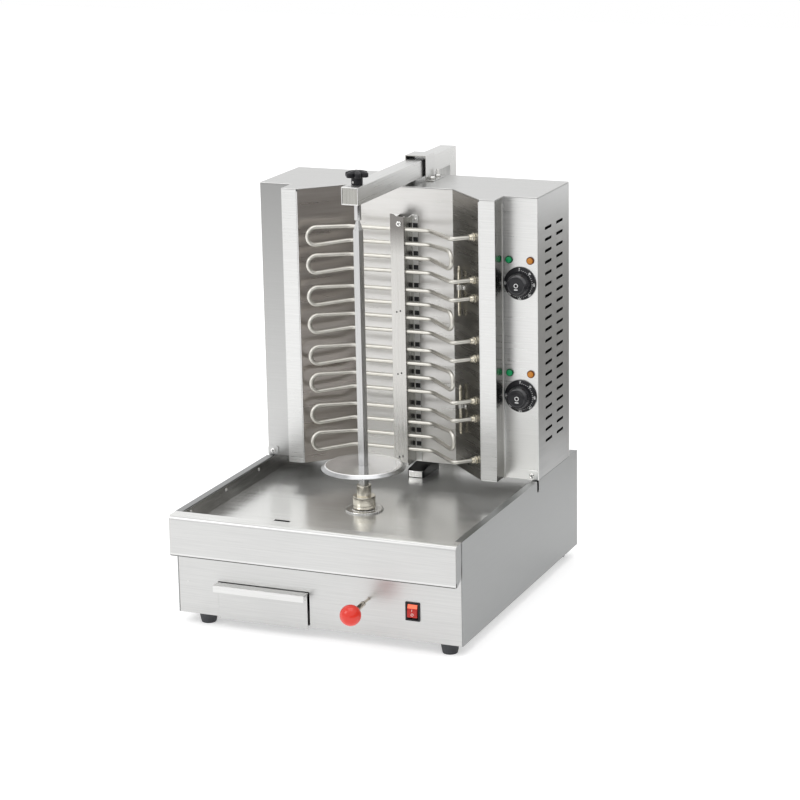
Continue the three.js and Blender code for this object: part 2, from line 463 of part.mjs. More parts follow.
// washer that covers the shaft slot in the basin floor
put(carriage, 'slot_cover', lathe([[10.8, 0], [37, 0], [37, 2.6], [35.4, 2.6], [34.6, 1.4], [24.5, 1.4], [23.5, 2.8], [10.8, 2.8], [10.8, 0]], 24),
  CHROME(), [0, SPIT_Y, TRAY_FLOOR + GAP]);

// ===================================================================== spit
const spit = new THREE.Group();
machine.add(spit);
spit.position.set(0, SPIT_Y, 0);
spit.rotation.z = -14 * Math.PI / 180;
const hb = BAR / 2;
put(spit, 'drive_socket', lathe([[0, 98], [10.2, 98], [10.2, 170.6], [21, 170.6], [22, 171.6], [22, 193.6], [21, 194.6], [14, 194.6], [14, 214.8], [13, 216], [0, 216]], 20)
  .subtract(box(-hb - 0.4, hb + 0.4, -hb - 0.4, hb + 0.4, 184, 220)), CHROME());
put(spit, 'spit_bar', sum(
  box(-hb, hb, -hb, hb, 184.4, 714),
  solid(new THREE.CylinderGeometry(3.4, hb * Math.SQRT2, 18, 4).rotateY(Math.PI / 4).rotateX(Math.PI / 2).translate(0, 0, 723)),
  solid(new THREE.CylinderGeometry(1.2, 3.2, 16, 12).rotateX(Math.PI / 2).translate(0, 0, 739.5))), STEEL_BRIGHT());
// flat disc with a sloping rim, on a boss that sits on the bar
const dz = DISC_TOP, dr = DISC_R;
put(spit, 'drip_disc', lathe([[0, dz - 20], [14, dz - 20], [14, dz - T], [dr - 9, dz - T], [dr - 0.9, dz - 7.6], [dr, dz - 6.2], [dr - 8.2, dz], [0, dz]], 32)
  .subtract(box(-hb - 0.4, hb + 0.4, -hb - 0.4, hb + 0.4, dz - 30, dz + 5)), STEEL_BRIGHT());

// ================================================================ top pivot
const topPivot = new THREE.Group();
machine.add(topPivot);
topPivot.position.set(0, SPIT_Y, 0);
put(topPivot, 'pivot_pin', lathe([[0, 757], [4.6, 757], [4.6, 732], [6.6, 732], [6.6, 765.6], [5, 765.6], [5, 812], [0, 812]], 20), CHROME());
const lobes = [];
for (let i = 0; i < 6; i++) {
  const c = i * 60;
  lobes.push(...arc(17.5 * Math.cos(c * Math.PI / 180), 17.5 * Math.sin(c * Math.PI / 180), 5.6, c - 70, c + 70, 4));
}
put(topPivot, 'star_knob', prismZ(lobes, 813.8, 822)
  .add(lathe([[0, 821], [17.6, 821], [17.6, 822.6], [13, 824.8], [7, 826.1], [0, 826.5]], 18))
  .add(cylZ(0, 0, 11, 800.3, 815, 20)).subtract(cylZ(0, 0, 5.3, 799, 812.3, 16)), BLACK());

const group = new THREE.Group();
machine.position.set(0, -(FRONT_Y + REAR_Y) / 2, FOOT_H);
group.add(machine);
export default group;
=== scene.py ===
import bpy, bmesh, json, math, random
from mathutils import Vector, Matrix, Quaternion, noise


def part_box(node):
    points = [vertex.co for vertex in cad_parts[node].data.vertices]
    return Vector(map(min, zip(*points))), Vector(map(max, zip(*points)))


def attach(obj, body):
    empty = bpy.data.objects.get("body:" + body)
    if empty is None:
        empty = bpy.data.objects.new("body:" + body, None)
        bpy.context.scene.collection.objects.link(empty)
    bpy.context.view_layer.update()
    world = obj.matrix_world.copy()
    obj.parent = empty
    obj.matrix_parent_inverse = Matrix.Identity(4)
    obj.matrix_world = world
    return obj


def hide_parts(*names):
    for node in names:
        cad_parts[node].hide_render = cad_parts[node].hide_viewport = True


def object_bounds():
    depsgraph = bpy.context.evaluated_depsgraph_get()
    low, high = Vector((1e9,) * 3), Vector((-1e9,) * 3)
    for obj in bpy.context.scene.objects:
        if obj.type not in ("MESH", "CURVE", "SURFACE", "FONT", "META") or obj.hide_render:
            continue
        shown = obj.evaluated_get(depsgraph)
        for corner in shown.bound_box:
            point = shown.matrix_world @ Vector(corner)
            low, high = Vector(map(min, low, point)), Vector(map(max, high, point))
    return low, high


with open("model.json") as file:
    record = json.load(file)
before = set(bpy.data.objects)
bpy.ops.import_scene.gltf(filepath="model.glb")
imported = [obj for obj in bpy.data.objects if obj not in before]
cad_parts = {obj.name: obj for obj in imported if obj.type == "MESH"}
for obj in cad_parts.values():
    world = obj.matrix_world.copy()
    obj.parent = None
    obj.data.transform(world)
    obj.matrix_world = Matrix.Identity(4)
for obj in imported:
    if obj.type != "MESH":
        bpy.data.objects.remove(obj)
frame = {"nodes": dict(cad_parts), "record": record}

BOX0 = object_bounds()
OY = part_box("lower_front_panel")[0].y          # front panel's face
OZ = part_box("base_side_right")[0].z            # underside of the base
BODY = {n: b for b, ns in frame["record"]["behaviour"]["bodies"].items() for n in ns}
SLOT = {s["node"]: s["material_slot"] for s in frame["record"]["subparts"]}


def W(x, y, z):
    """machine millimetres -> row frame metres"""
    return Vector((x / 1000, OY + y / 1000, OZ + z / 1000))


def N(node):
    """a CAD node's box in machine millimetres"""
    a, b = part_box(node)
    return (Vector((a.x * 1000, (a.y - OY) * 1000, (a.z - OZ) * 1000)),
            Vector((b.x * 1000, (b.y - OY) * 1000, (b.z - OZ) * 1000)))


# ============================================================== materials
def new_mat(name):
    m = bpy.data.materials.new(name)
    m.use_nodes = True
    nt = m.node_tree
    b = nt.nodes["Principled BSDF"]
    return m, nt, b


def tex(nt, kind, **kw):
    n = nt.nodes.new(kind)
    for k, v in kw.items():
        if k in n.inputs:
            n.inputs[k].default_value = v
        else:
            setattr(n, k, v)
    return n


def obj_noise(nt, scale_xyz, detail=3.0, rough=0.55, sc=1.0):
    tc = nt.nodes.new("ShaderNodeTexCoord")
    mp = nt.nodes.new("ShaderNodeMapping")
    mp.inputs["Scale"].default_value = scale_xyz
    nt.links.new(tc.outputs["Object"], mp.inputs["Vector"])
    nz = nt.nodes.new("ShaderNodeTexNoise")
    nz.inputs["Scale"].default_value = sc
    nz.inputs["Detail"].default_value = detail
    nz.inputs["Roughness"].default_value = rough
    nt.links.new(mp.outputs["Vector"], nz.inputs["Vector"])
    return nz


def maprange(nt, src, a, b, c, d):
    m = nt.nodes.new("ShaderNodeMapRange")
    m.inputs["From Min"].default_value = a
    m.inputs["From Max"].default_value = b
    m.inputs["To Min"].default_value = c
    m.inputs["To Max"].default_value = d
    nt.links.new(src, m.inputs["Value"])
    return m.outputs["Result"]


def mixcol(nt, fac, c1, c2):
    m = nt.nodes.new("ShaderNodeMix")
    m.data_type = "RGBA"
    nt.links.new(fac, m.inputs["Factor"])
    m.inputs["A"].default_value = (*c1, 1)
    m.inputs["B"].default_value = (*c2, 1)
    return m.outputs["Result"]


def add_bump(nt, b, height, strength, dist):
    bp = nt.nodes.new("ShaderNodeBump")
    bp.inputs["Strength"].default_value = strength
    bp.inputs["Distance"].default_value = dist
    nt.links.new(height, bp.inputs["Height"])
    nt.links.new(bp.outputs["Normal"], b.inputs["Normal"])
    return bp


def brushed(name, c_lo, c_hi, r_lo, r_hi, grain=(14, 900, 900), bump=0.05, metal=1.0, aniso=0.0, cloud=0.10, painted_light_by_height=None):
    """Stainless sheet: fine stretched grain in roughness, colour and bump, with broad soft clouding."""
    m, nt, b = new_mat(name)
    b.inputs["Metallic"].default_value = metal
    b.inputs["Anisotropic"].default_value = aniso
    g = obj_noise(nt, grain, 2.0, 0.6)
    cl = obj_noise(nt, (7, 7, 7), 3.0, 0.5)
    mix = nt.nodes.new("ShaderNodeMath")
    mix.operation = "MULTIPLY_ADD"
    nt.links.new(cl.outputs["Fac"], mix.inputs[0])
    mix.inputs[1].default_value = cloud * 4
    sub = nt.nodes.new("ShaderNodeMath")
    sub.operation = "SUBTRACT"
    nt.links.new(g.outputs["Fac"], sub.inputs[0])
    sub.inputs[1].default_value = cloud * 2
    nt.links.new(sub.outputs[0], mix.inputs[2])
    f = mix.outputs[0]
    col = mixcol(nt, maprange(nt, f, 0.3, 0.7, 0, 1), c_lo, c_hi)
    if painted_light_by_height:                                           # painted light and shade that change with height: (z low, z high, colour low)
        tc = nt.nodes.new("ShaderNodeTexCoord")
        sx = nt.nodes.new("ShaderNodeSeparateXYZ")
        nt.links.new(tc.outputs["Object"], sx.inputs["Vector"])
        mx = nt.nodes.new("ShaderNodeMix")
        mx.data_type = "RGBA"
        nt.links.new(maprange(nt, sx.outputs["Z"], OZ + painted_light_by_height[0] / 1000, OZ + painted_light_by_height[1] / 1000, 0, 1), mx.inputs["Factor"])
        mx.inputs["A"].default_value = (*painted_light_by_height[2], 1)
        nt.links.new(col, mx.inputs["B"])
        col = mx.outputs["Result"]
    nt.links.new(col, b.inputs["Base Color"])
    nt.links.new(maprange(nt, f, 0.3, 0.7, r_lo, r_hi), b.inputs["Roughness"])
    if bump:
        add_bump(nt, b, g.outputs["Fac"], bump, 0.0002)
    return m


def plastic(name, c, c2, rough, coat=0.0, bump=0.05, sc=900, emit=None, trans=0.0, spec=0.5):
    m, nt, b = new_mat(name)
    nz = obj_noise(nt, (sc, sc, sc), 2.0, 0.6)
    cl = obj_noise(nt, (30, 30, 30), 2.0, 0.5)
    nt.links.new(mixcol(nt, maprange(nt, cl.outputs["Fac"], 0.3, 0.7, 0, 1), c, c2), b.inputs["Base Color"])
    nt.links.new(maprange(nt, nz.outputs["Fac"], 0.3, 0.7, rough * 0.85, rough * 1.15), b.inputs["Roughness"])
    b.inputs["Coat Weight"].default_value = coat
    b.inputs["Specular IOR Level"].default_value = spec
    b.inputs["Coat Roughness"].default_value = 0.06
    if trans:
        b.inputs["Transmission Weight"].default_value = trans
    if emit:
        b.inputs["Emission Color"].default_value = (*emit[0], 1)
        b.inputs["Emission Strength"].default_value = emit[1]
    add_bump(nt, b, nz.outputs["Fac"], bump, 0.0001)
    return m


M = {
    # sheet brushed left-right (front faces, tray, tops), and front-back (side panels)
    "panel_x": brushed("steel_brushed_x", (0.60, 0.60, 0.592), (0.68, 0.68, 0.672), 0.27, 0.38, (10, 700, 700), bump=0.03),
    # tower sides: painted shade, darker towards the bottom
    "panel_y": brushed("steel_brushed_y", (0.50, 0.505, 0.505), (0.56, 0.565, 0.565), 0.28, 0.40, (700, 10, 700), bump=0.03, painted_light_by_height=(260, 700, (0.35, 0.353, 0.353))),
    "panel_yb": brushed("steel_brushed_base_side", (0.26, 0.265, 0.265), (0.31, 0.315, 0.315), 0.30, 0.40, (700, 10, 700), bump=0.03),
    "panel_f": brushed("steel_brushed_front", (0.50, 0.50, 0.495), (0.565, 0.565, 0.558), 0.31, 0.41, (10, 700, 700), bump=0.03),
    # control panel: painted light, lighter towards its lower edge
    "panel_c": brushed("steel_control", (0.60, 0.60, 0.592), (0.68, 0.68, 0.672), 0.27, 0.38, (10, 700, 700), bump=0.03, painted_light_by_height=(215, 360, (0.90, 0.90, 0.885))),
    "refl_right": brushed("steel_reflector_right_painted_reflection", (0.27, 0.26, 0.24), (0.33, 0.32, 0.297), 0.24, 0.30, (5, 5, 90), bump=0.0, cloud=0.04),
    # left front panel: painted shade, darker towards the top
    "panel_fl": brushed("steel_brushed_left", (0.46, 0.46, 0.455), (0.51, 0.51, 0.504), 0.30, 0.40, (10, 700, 700), bump=0.03, painted_light_by_height=(770, 300, (0.29, 0.29, 0.286))),
    "panel_t": brushed("steel_brushed_top", (0.54, 0.54, 0.533), (0.61, 0.61, 0.60), 0.27, 0.37, (10, 700, 700), bump=0.03),
    "bar": brushed("steel_bar", (0.46, 0.46, 0.457), (0.53, 0.53, 0.527), 0.24, 0.34, (420, 420, 12), bump=0.006, cloud=0.06),
    "arm": brushed("steel_arm", (0.62, 0.62, 0.61), (0.70, 0.70, 0.69), 0.26, 0.38, (700, 10, 700), bump=0.03),
    # return: painted shade, a darker copy of the steel
    "return": brushed("steel_return_painted_shade", (0.40, 0.395, 0.375), (0.46, 0.455, 0.435), 0.18, 0.28, (700, 700, 10), bump=0.02),
    "panel_z": brushed("steel_brushed_z", (0.66, 0.66, 0.65), (0.74, 0.74, 0.73), 0.30, 0.42, (700, 700, 10)),
    "tray": brushed("steel_tray", (0.72, 0.72, 0.70), (0.80, 0.80, 0.785), 0.19, 0.27, (9, 120, 120), bump=0.0, cloud=0.10, metal=0.80),
    "tray_wall": brushed("steel_tray_wall_painted_shade", (0.26, 0.255, 0.245), (0.34, 0.335, 0.325), 0.16, 0.26, (160, 9, 160), bump=0.0, cloud=0.10),
    # painted light: a lit copy of the steel for faces and edges drawn brighter
    "lit_steel": brushed("steel_painted_light", (0.80, 0.80, 0.785), (0.86, 0.86, 0.85), 0.40, 0.50, (10, 500, 500), bump=0.0),
    "screw": brushed("screw_plate", (0.76, 0.755, 0.74), (0.86, 0.855, 0.84), 0.12, 0.20, (200, 200, 200), bump=0.01, cloud=0.05),
    "leg": brushed("steel_comb_leg", (0.32, 0.315, 0.295), (0.40, 0.395, 0.37), 0.20, 0.30, (420, 420, 12), bump=0.0, cloud=0.10),
    "disc_rim": brushed("steel_disc_rim_painted_shade", (0.40, 0.405, 0.41), (0.46, 0.465, 0.47), 0.20, 0.28, (60, 60, 60), bump=0.01, cloud=0.06),
    "reflector": brushed("steel_reflector", (0.625, 0.615, 0.595), (0.67, 0.66, 0.645), 0.27, 0.31, (9, 90, 140), bump=0.0, cloud=0.04, metal=0.78),
    "refl_side": brushed("steel_reflector_left_painted_reflection", (0.46, 0.42, 0.39), (0.54, 0.505, 0.475), 0.27, 0.31, (5, 5, 110), bump=0.0, cloud=0.04),
    "bright": brushed("steel_bright", (0.64, 0.635, 0.62), (0.73, 0.725, 0.71), 0.20, 0.30, (420, 420, 12), bump=0.006, cloud=0.06),
    # clamp bar: painted shade, darker above z 630 and fully dark from z 684
    "comb": brushed("steel_comb", (0.49, 0.48, 0.46), (0.56, 0.55, 0.53), 0.22, 0.30, (300, 300, 9), bump=0.0, cloud=0.08, painted_light_by_height=(684, 630, (0.20, 0.19, 0.18))),
    "disc_crest": brushed("steel_disc_crest_painted_highlight", (0.88, 0.88, 0.875), (0.93, 0.93, 0.925), 0.36, 0.44, (60, 60, 60), bump=0.0, cloud=0.04),
    "disc": brushed("steel_disc", (0.80, 0.805, 0.81), (0.86, 0.86, 0.865), 0.07, 0.11, (60, 60, 60), bump=0.0, cloud=0.06, metal=0.88),
    "hidden": brushed("steel_zinc", (0.42, 0.42, 0.42), (0.56, 0.56, 0.56), 0.35, 0.55, (160, 160, 160), bump=0.06),
    "chrome": brushed("chrome_plate", (0.76, 0.75, 0.73), (0.84, 0.83, 0.81), 0.07, 0.13, (200, 200, 200), bump=0.01, cloud=0.05),
    "socket": brushed("steel_turned", (0.76, 0.72, 0.63), (0.84, 0.80, 0.71), 0.16, 0.22, (40, 40, 300), bump=0.0, cloud=0.04),
    "sheath": brushed("element_sheath", (0.57, 0.555, 0.51), (0.63, 0.615, 0.57), 0.31, 0.37, (60, 60, 60), bump=0.0, cloud=0.05, metal=0.94),
    "brass": brushed("gland_metal", (0.62, 0.58, 0.49), (0.78, 0.745, 0.65), 0.18, 0.32, (300, 300, 300), bump=0.04),
    "bulb": brushed("bulb_metal", (0.52, 0.48, 0.38), (0.64, 0.60, 0.50), 0.10, 0.18, (200, 200, 40), bump=0.03),
    "alu": brushed("cast_aluminium", (0.46, 0.47, 0.48), (0.58, 0.59, 0.60), 0.40, 0.60, (500, 500, 500), bump=0.20),
    "rubber": plastic("foot_rubber", (0.018, 0.019, 0.022), (0.035, 0.037, 0.042), 0.62, bump=0.25, sc=1200),
    "black": plastic("black_moulding", (0.010, 0.010, 0.012), (0.016, 0.016, 0.018), 0.36, coat=0.0, bump=0.04, spec=0.22),
    "duct_dark_reflection": plastic("steel_painted_dark_reflection", (0.004, 0.004, 0.005), (0.007, 0.007, 0.008), 0.10, coat=0.0, bump=0.01, spec=0.35),
    "knob_edge_highlight": plastic("knob_edge_highlight", (0.020, 0.020, 0.022), (0.030, 0.030, 0.033), 0.24, coat=0.4, bump=0.02, spec=0.6),
    "knobcap": plastic("knob_cap", (0.008, 0.008, 0.010), (0.013, 0.013, 0.015), 0.20, coat=0.0, bump=0.02, spec=0.26),
    "sleeve": brushed("steel_sleeve", (0.70, 0.64, 0.55), (0.78, 0.72, 0.63), 0.12, 0.18, (60, 400, 60), bump=0.0, cloud=0.05),
    "ball": plastic("ball_red", (0.58, 0.028, 0.018), (0.64, 0.038, 0.024), 0.06, coat=0.2, bump=0.0, spec=0.35),
    "rocker": plastic("switch_red", (0.36, 0.012, 0.008), (0.42, 0.018, 0.012), 0.22, coat=0.1, bump=0.02, spec=0.3),
    "rocker_painted_light": plastic("switch_red_painted_light", (0.90, 0.13, 0.06), (0.92, 0.16, 0.08), 0.20, coat=0.5, bump=0.02, emit=((1.0, 0.16, 0.06), 0.35)),
    "green": plastic("lamp_green", (0.002, 0.20, 0.065), (0.004, 0.27, 0.09), 0.14, coat=0.05, bump=0.02, spec=0.25),
    "green_ring": plastic("lamp_green_rim", (0.001, 0.040, 0.018), (0.002, 0.06, 0.025), 0.20, coat=0.0, bump=0.02, spec=0.25),
    "amber_ring": plastic("lamp_amber_rim", (0.11, 0.030, 0.006), (0.15, 0.042, 0.009), 0.20, coat=0.0, bump=0.02, spec=0.25),
    "amber": plastic("lamp_amber", (0.40, 0.15, 0.022), (0.52, 0.21, 0.035), 0.14, coat=0.05, bump=0.02, spec=0.25),
    "white": plastic("white_print", (0.78, 0.78, 0.77), (0.86, 0.86, 0.86), 0.45, bump=0.02),
    "pinkmark": plastic("switch_mark", (0.86, 0.60, 0.56), (0.92, 0.70, 0.66), 0.40, bump=0.02),
    "hem": brushed("steel_hem_shade", (0.10, 0.10, 0.098), (0.14, 0.14, 0.137), 0.30, 0.40, (10, 500, 500), bump=0.0),
    "black_shade": plastic("louvre_painted_shade", (0.002, 0.002, 0.002), (0.004, 0.004, 0.004), 0.9, bump=0.0, spec=0.0),
    "dark": plastic("dark_gap", (0.010, 0.010, 0.011), (0.016, 0.016, 0.018), 0.7, bump=0.02),
}
BYSLOT = {"panel_steel": "panel_x", "reflector_steel": "reflector", "bright_steel": "bright", "hidden_steel": "hidden",
          "chrome_plate": "chrome", "element_sheath": "sheath", "gland_brass": "brass", "bulb_brass": "bulb",
          "foot_rubber": "rubber", "black_plastic": "black", "switch_red": "rocker", "ball_red": "ball",
          "lamp_green": "green", "lamp_amber": "amber", "motor_aluminium": "alu", "white_print": "white"}
for n, o in frame["nodes"].items():
    o.data.materials.clear()
    o.data.materials.append(M[BYSLOT[SLOT[n]]])


# =============================================================== geometry
def obj_from(name, verts, faces, mat, body, slot=None, smooth=30, replaces=(), mm=True, mats=None, midx=None):
    me = bpy.data.meshes.new(name)
    me.from_pydata([W(*v) for v in verts] if mm else [Vector(v) for v in verts], [], faces)
    me.validate()
    me.update()
    o = bpy.data.objects.new(name, me)
    bpy.context.collection.objects.link(o)
    return dress(o, mat, body, slot, smooth, replaces, mats, midx)


def dress(o, mat, body, slot=None, smooth=30, replaces=(), mats=None, midx=None):
    me = o.data
    me.materials.clear()
    for m in (mats or [mat]):
        me.materials.append(M[m])
    if midx:
        me.polygons.foreach_set("material_index", midx)
    if smooth:
        me.polygons.foreach_set("use_smooth", [True] * len(me.polygons))
        me.set_sharp_from_angle(angle=math.radians(smooth))
    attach(o, body)
    if replaces:
        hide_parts(*replaces)
    return o


def fix_normals(o):
    bm = bmesh.new()
    bm.from_mesh(o.data)
    bmesh.ops.recalc_face_normals(bm, faces=bm.faces)
    bm.to_mesh(o.data)
    bm.free()


def bevel_mesh(me, width_mm, segs=2, angle=30, dissolve=True):
    bm = bmesh.new()
    bm.from_mesh(me)
    bmesh.ops.remove_doubles(bm, verts=bm.verts, dist=1e-6)
    if dissolve:
        bmesh.ops.dissolve_limit(bm, angle_limit=math.radians(0.6), verts=bm.verts, edges=bm.edges)
    edges = [e for e in bm.edges if len(e.link_faces) == 2 and e.calc_face_angle(0) > math.radians(angle)]
    bmesh.ops.bevel(bm, geom=edges, offset=width_mm / 1000, segments=segs, profile=0.5, affect="EDGES", clamp_overlap=True)
    bmesh.ops.recalc_face_normals(bm, faces=bm.faces)
    bm.to_mesh(me)
    bm.free()


def weighted(o):
    md = o.modifiers.new("wn", "WEIGHTED_NORMAL")
    md.keep_sharp = True
    md.weight = 80


def bev(node, mat=None, width=0.7, segs=2, angle=30, smooth=50, slot=None):
    """A CAD node's own shape with its sheet edges broken, so that they catch the light."""
    src = frame["nodes"][node]
    me = src.data.copy()
    o = bpy.data.objects.new(node + ".v", me)
    bpy.context.collection.objects.link(o)
    bevel_mesh(me, width, segs, angle)
    dress(o, mat or BYSLOT[SLOT[node]], BODY[node], slot or SLOT[node], smooth, (node,))
    weighted(o)
    return o


def boolean(o, cutter, op="DIFFERENCE"):
    md = o.modifiers.new("b", "BOOLEAN")
    md.operation = op
    md.solver = "EXACT"
    md.object = cutter
    dg = bpy.context.evaluated_depsgraph_get()
    me = bpy.data.meshes.new_from_object(o.evaluated_get(dg))
    o.modifiers.clear()
    o.data = me
    bpy.data.objects.remove(cutter)
    return o


def raw(name, verts, faces, mm=True):
    me = bpy.data.meshes.new(name)
    me.from_pydata([W(*v) for v in verts] if mm else [Vector(v) for v in verts], [], faces)
    me.update()
    o = bpy.data.objects.new(name, me)
    bpy.context.collection.objects.link(o)
    fix_normals(o)
    return o


def g_box(x0, x1, y0, y1, z0, z1):
    v = [(x, y, z) for x in (x0, x1) for y in (y0, y1) for z in (z0, z1)]
    f = [(0, 1, 3, 2), (4, 6, 7, 5), (0, 4, 5, 1), (2, 3, 7, 6), (0, 2, 6, 4), (1, 5, 7, 3)]
    return v, f


def g_prism(pts, a0, a1, axis):
    """outline carried along an axis: X takes (y, z), Y takes (x, z), Z takes (x, y)"""
    n = len(pts)
    mk = {"X": lambda p, a: (a, p[0], p[1]), "Y": lambda p, a: (p[0], a, p[1]), "Z": lambda p, a: (p[0], p[1], a)}[axis]
    v = [mk(p, a0) for p in pts] + [mk(p, a1) for p in pts]
    f = [tuple(range(n))[::-1], tuple(range(n, 2 * n))]
    f += [(i, (i + 1) % n, n + (i + 1) % n, n + i) for i in range(n)]
    return v, f


def g_lathe(profile, n=48, start=0.0):
    """profile of (r, h) revolved round +Z at the origin, millimetres; r = 0 ends close to a point"""
    v, f, rings = [], [], []
    for r, h in profile:
        if r < 1e-6:
            rings.append([len(v)])
            v.append((0, 0, h))
        else:
            base = len(v)
            rings.append(list(range(base, base + n)))
            for i in range(n):
                a = start + 2 * math.pi * i / n
                v.append((r * math.cos(a), r * math.sin(a), h))
    for a, b in zip(rings, rings[1:]):
        for i in range(n):
            j = (i + 1) % n
            if len(a) == 1 and len(b) == 1:
                continue
            if len(a) == 1:
                f.append((a[0], b[i], b[j]))
            elif len(b) == 1:
                f.append((a[i], b[0], a[j]))
            else:
                f.append((a[i], b[i], b[j], a[j]))
    if len(rings[0]) > 1 and len(rings[-1]) > 1 and profile[0] != profile[-1]:
        f.append(tuple(rings[0]))
        f.append(tuple(rings[-1])[::-1])
    return v, f


def closed_lathe(profile, n=48):
    """a ring: the profile closes on itself"""
    v, f = [], []
    m = len(profile)
    for r, h in profile:
        for i in range(n):
            a = 2 * math.pi * i / n
            v.append((r * math.cos(a), r * math.sin(a), h))
    for k in range(m):
        q = (k + 1) % m
        for i in range(n):
            j = (i + 1) % n
            f.append((k * n + i, q * n + i, q * n + j, k * n + j))
    return v, f


def place(v, origin, z_axis=(0, 0, 1), x_axis=None, spin=0.0):
    """local points onto a machine-frame axis"""
    z = Vector(z_axis).normalized()
    x = Vector(x_axis).normalized() if x_axis else (Vector((1, 0, 0)) if abs(z.x) < 0.9 else Vector((0, 1, 0)))
    x = (x - z * x.dot(z)).normalized()
    y = z.cross(x)
    c, s = math.cos(spin), math.sin(spin)
    x, y = x * c + y * s, y * c - x * s
    o = Vector(origin)
    return [tuple(o + x * p[0] + y * p[1] + z * p[2]) for p in v]


def join(*parts):
    v, f = [], []
    for pv, pf in parts:
        k = len(v)
        v += list(pv)
        f += [tuple(i + k for i in q) for q in pf]
    return v, f


def piece(name, vf, mat, body, slot=None, smooth=35, replaces=(), bevel=0, segs=2, angle=30, wn=False, mats=None):
    o = raw(name, *vf)
    if bevel:
        bevel_mesh(o.data, bevel, segs, angle)
    dress(o, mat, body, slot, smooth, replaces, mats)
    if wn or bevel:
        weighted(o)
    return o


def arc(cx, cy, r, a0, a1, n):
    return [(cx + r * math.cos(math.radians(a0 + (a1 - a0) * i / n)),
             cy + r * math.sin(math.radians(a0 + (a1 - a0) * i / n))) for i in range(n + 1)]


def fillet(corners, radius, steps):
    P = [Vector(p) for p in corners]
    out = [P[0]]
    for i in range(1, len(P) - 1):
        a, b = (P[i - 1] - P[i]).normalized(), (P[i + 1] - P[i]).normalized()
        half = a.angle(b) / 2
        r = radius[i] if isinstance(radius, (list, tuple)) else radius
        cut = r / math.tan(half)
        c = P[i] + (a + b).normalized() * (r / math.sin(half))
        s, e = P[i] + a * cut - c, P[i] + b * cut - c
        ang = s.angle(e)
        ax = s.cross(e).normalized()
        for k in range(steps + 1):
            out.append(Quaternion(ax, ang * k / steps) @ s + c)
    out.append(P[-1])
    return out


def g_tube(path, r, sides=20, cap=True):
    P = [Vector(p) for p in path]
    Q = [P[0]]
    for p in P[1:]:
        if (p - Q[-1]).length > 1e-3:
            Q.append(p)
    P = Q
    n = len(P)
    T = []
    for i in range(n):
        d = Vector((0, 0, 0))
        if i > 0:
            d += (P[i] - P[i - 1]).normalized()
        if i < n - 1:
            d += (P[i + 1] - P[i]).normalized()
        T.append(d.normalized())
    ref = Vector((0, 0, 1)) if abs(T[0].z) < 0.9 else Vector((1, 0, 0))
    u = (ref - T[0] * ref.dot(T[0])).normalized()
    v, f = [], []
    for i in range(n):
        if i:
            q = T[i - 1].rotation_difference(T[i])
            u = q @ u
            u = (u - T[i] * u.dot(T[i])).normalized()
        w = T[i].cross(u)
        rr = r[i] if isinstance(r, (list, tuple)) else r
        for s in range(sides):
            a = 2 * math.pi * s / sides
            v.append(tuple(P[i] + u * (rr * math.cos(a)) + w * (rr * math.sin(a))))
    for i in range(n - 1):
        for s in range(sides):
            t = (s + 1) % sides
            f.append((i * sides + s, i * sides + t, (i + 1) * sides + t, (i + 1) * sides + s))
    if cap:
        f.append(tuple(range(sides))[::-1])
        f.append(tuple(range((n - 1) * sides, n * sides)))
    return v, f


def g_screw(r, h, cross=True, n=28):
    """pan head: low dome; the cross recess is cut into it by screw()"""
    prof = [(r, 0), (r, h * 0.45), (r * 0.93, h * 0.72), (r * 0.72, h * 0.92), (r * 0.45, h), (0.0, h * 1.0)]
    return g_lathe(prof, n)


def screw(name, at, normal, r, h, mat, body, slot, spin=0.4, recess_shade_mat="dark"):
    v, f = g_screw(r, h)
    o = raw(name, place(v, at, normal), f)
    w, L, d = r * 0.13, r * 0.50, h * 0.45
    for k in range(2):
        bv, bf = g_box(-L if k == 0 else -w, L if k == 0 else w, -w if k == 0 else -L, w if k == 0 else L, h - d, h + 1)
        boolean(o, raw("cut", place(bv, at, normal, spin=spin), bf))
    dress(o, mat, body, slot, 40)
    # painted shade: dark strips at the floor of the cross recess
    parts_ = [g_box(-L, L, -w, w, h - d - 0.05, h - d + 0.12), g_box(-w, w, -L, L, h - d - 0.05, h - d + 0.12)]
    for k, (bv, bf) in enumerate(parts_):
        piece(f"{name}_recess{k}", (place(bv, at, normal, spin=spin), bf), recess_shade_mat, body, "black_plastic", 0)
    return o


def rivet(name, at, normal, r, h, mat, body, slot):
    prof = [(r, 0), (r, h * 0.25), (r * 0.9, h * 0.6), (r * 0.62, h * 0.9), (r * 0.36, h), (r * 0.30, h * 0.9), (r * 0.27, h * 0.45), (0, h * 0.4)]
    v, f = g_lathe(prof, 24)
    return piece(name, (place(v, at, normal), f), mat, body, slot, 40)


# ============================================================ base panels
bev("base_side_right", "panel_yb", 0.6)
bev("base_side_left", "panel_yb", 0.6)
bev("lower_front_panel", "panel_f", 0.6)
bev("base_back_panel", "panel_x", 0.6)
bev("bottom_plate", "hidden", 0.4)
tray = bev("drip_tray", "tray", 0.7, smooth=30)
bev("drawer_runner_left", "hidden", 0.3)
bev("drawer_runner_right", "hidden", 0.3)
bev("slide_rail_right", "hidden", 0.3)
bev("slide_rail_left", "hidden", 0.3)
drawer = bev("drip_drawer", "panel_f", 0.6)
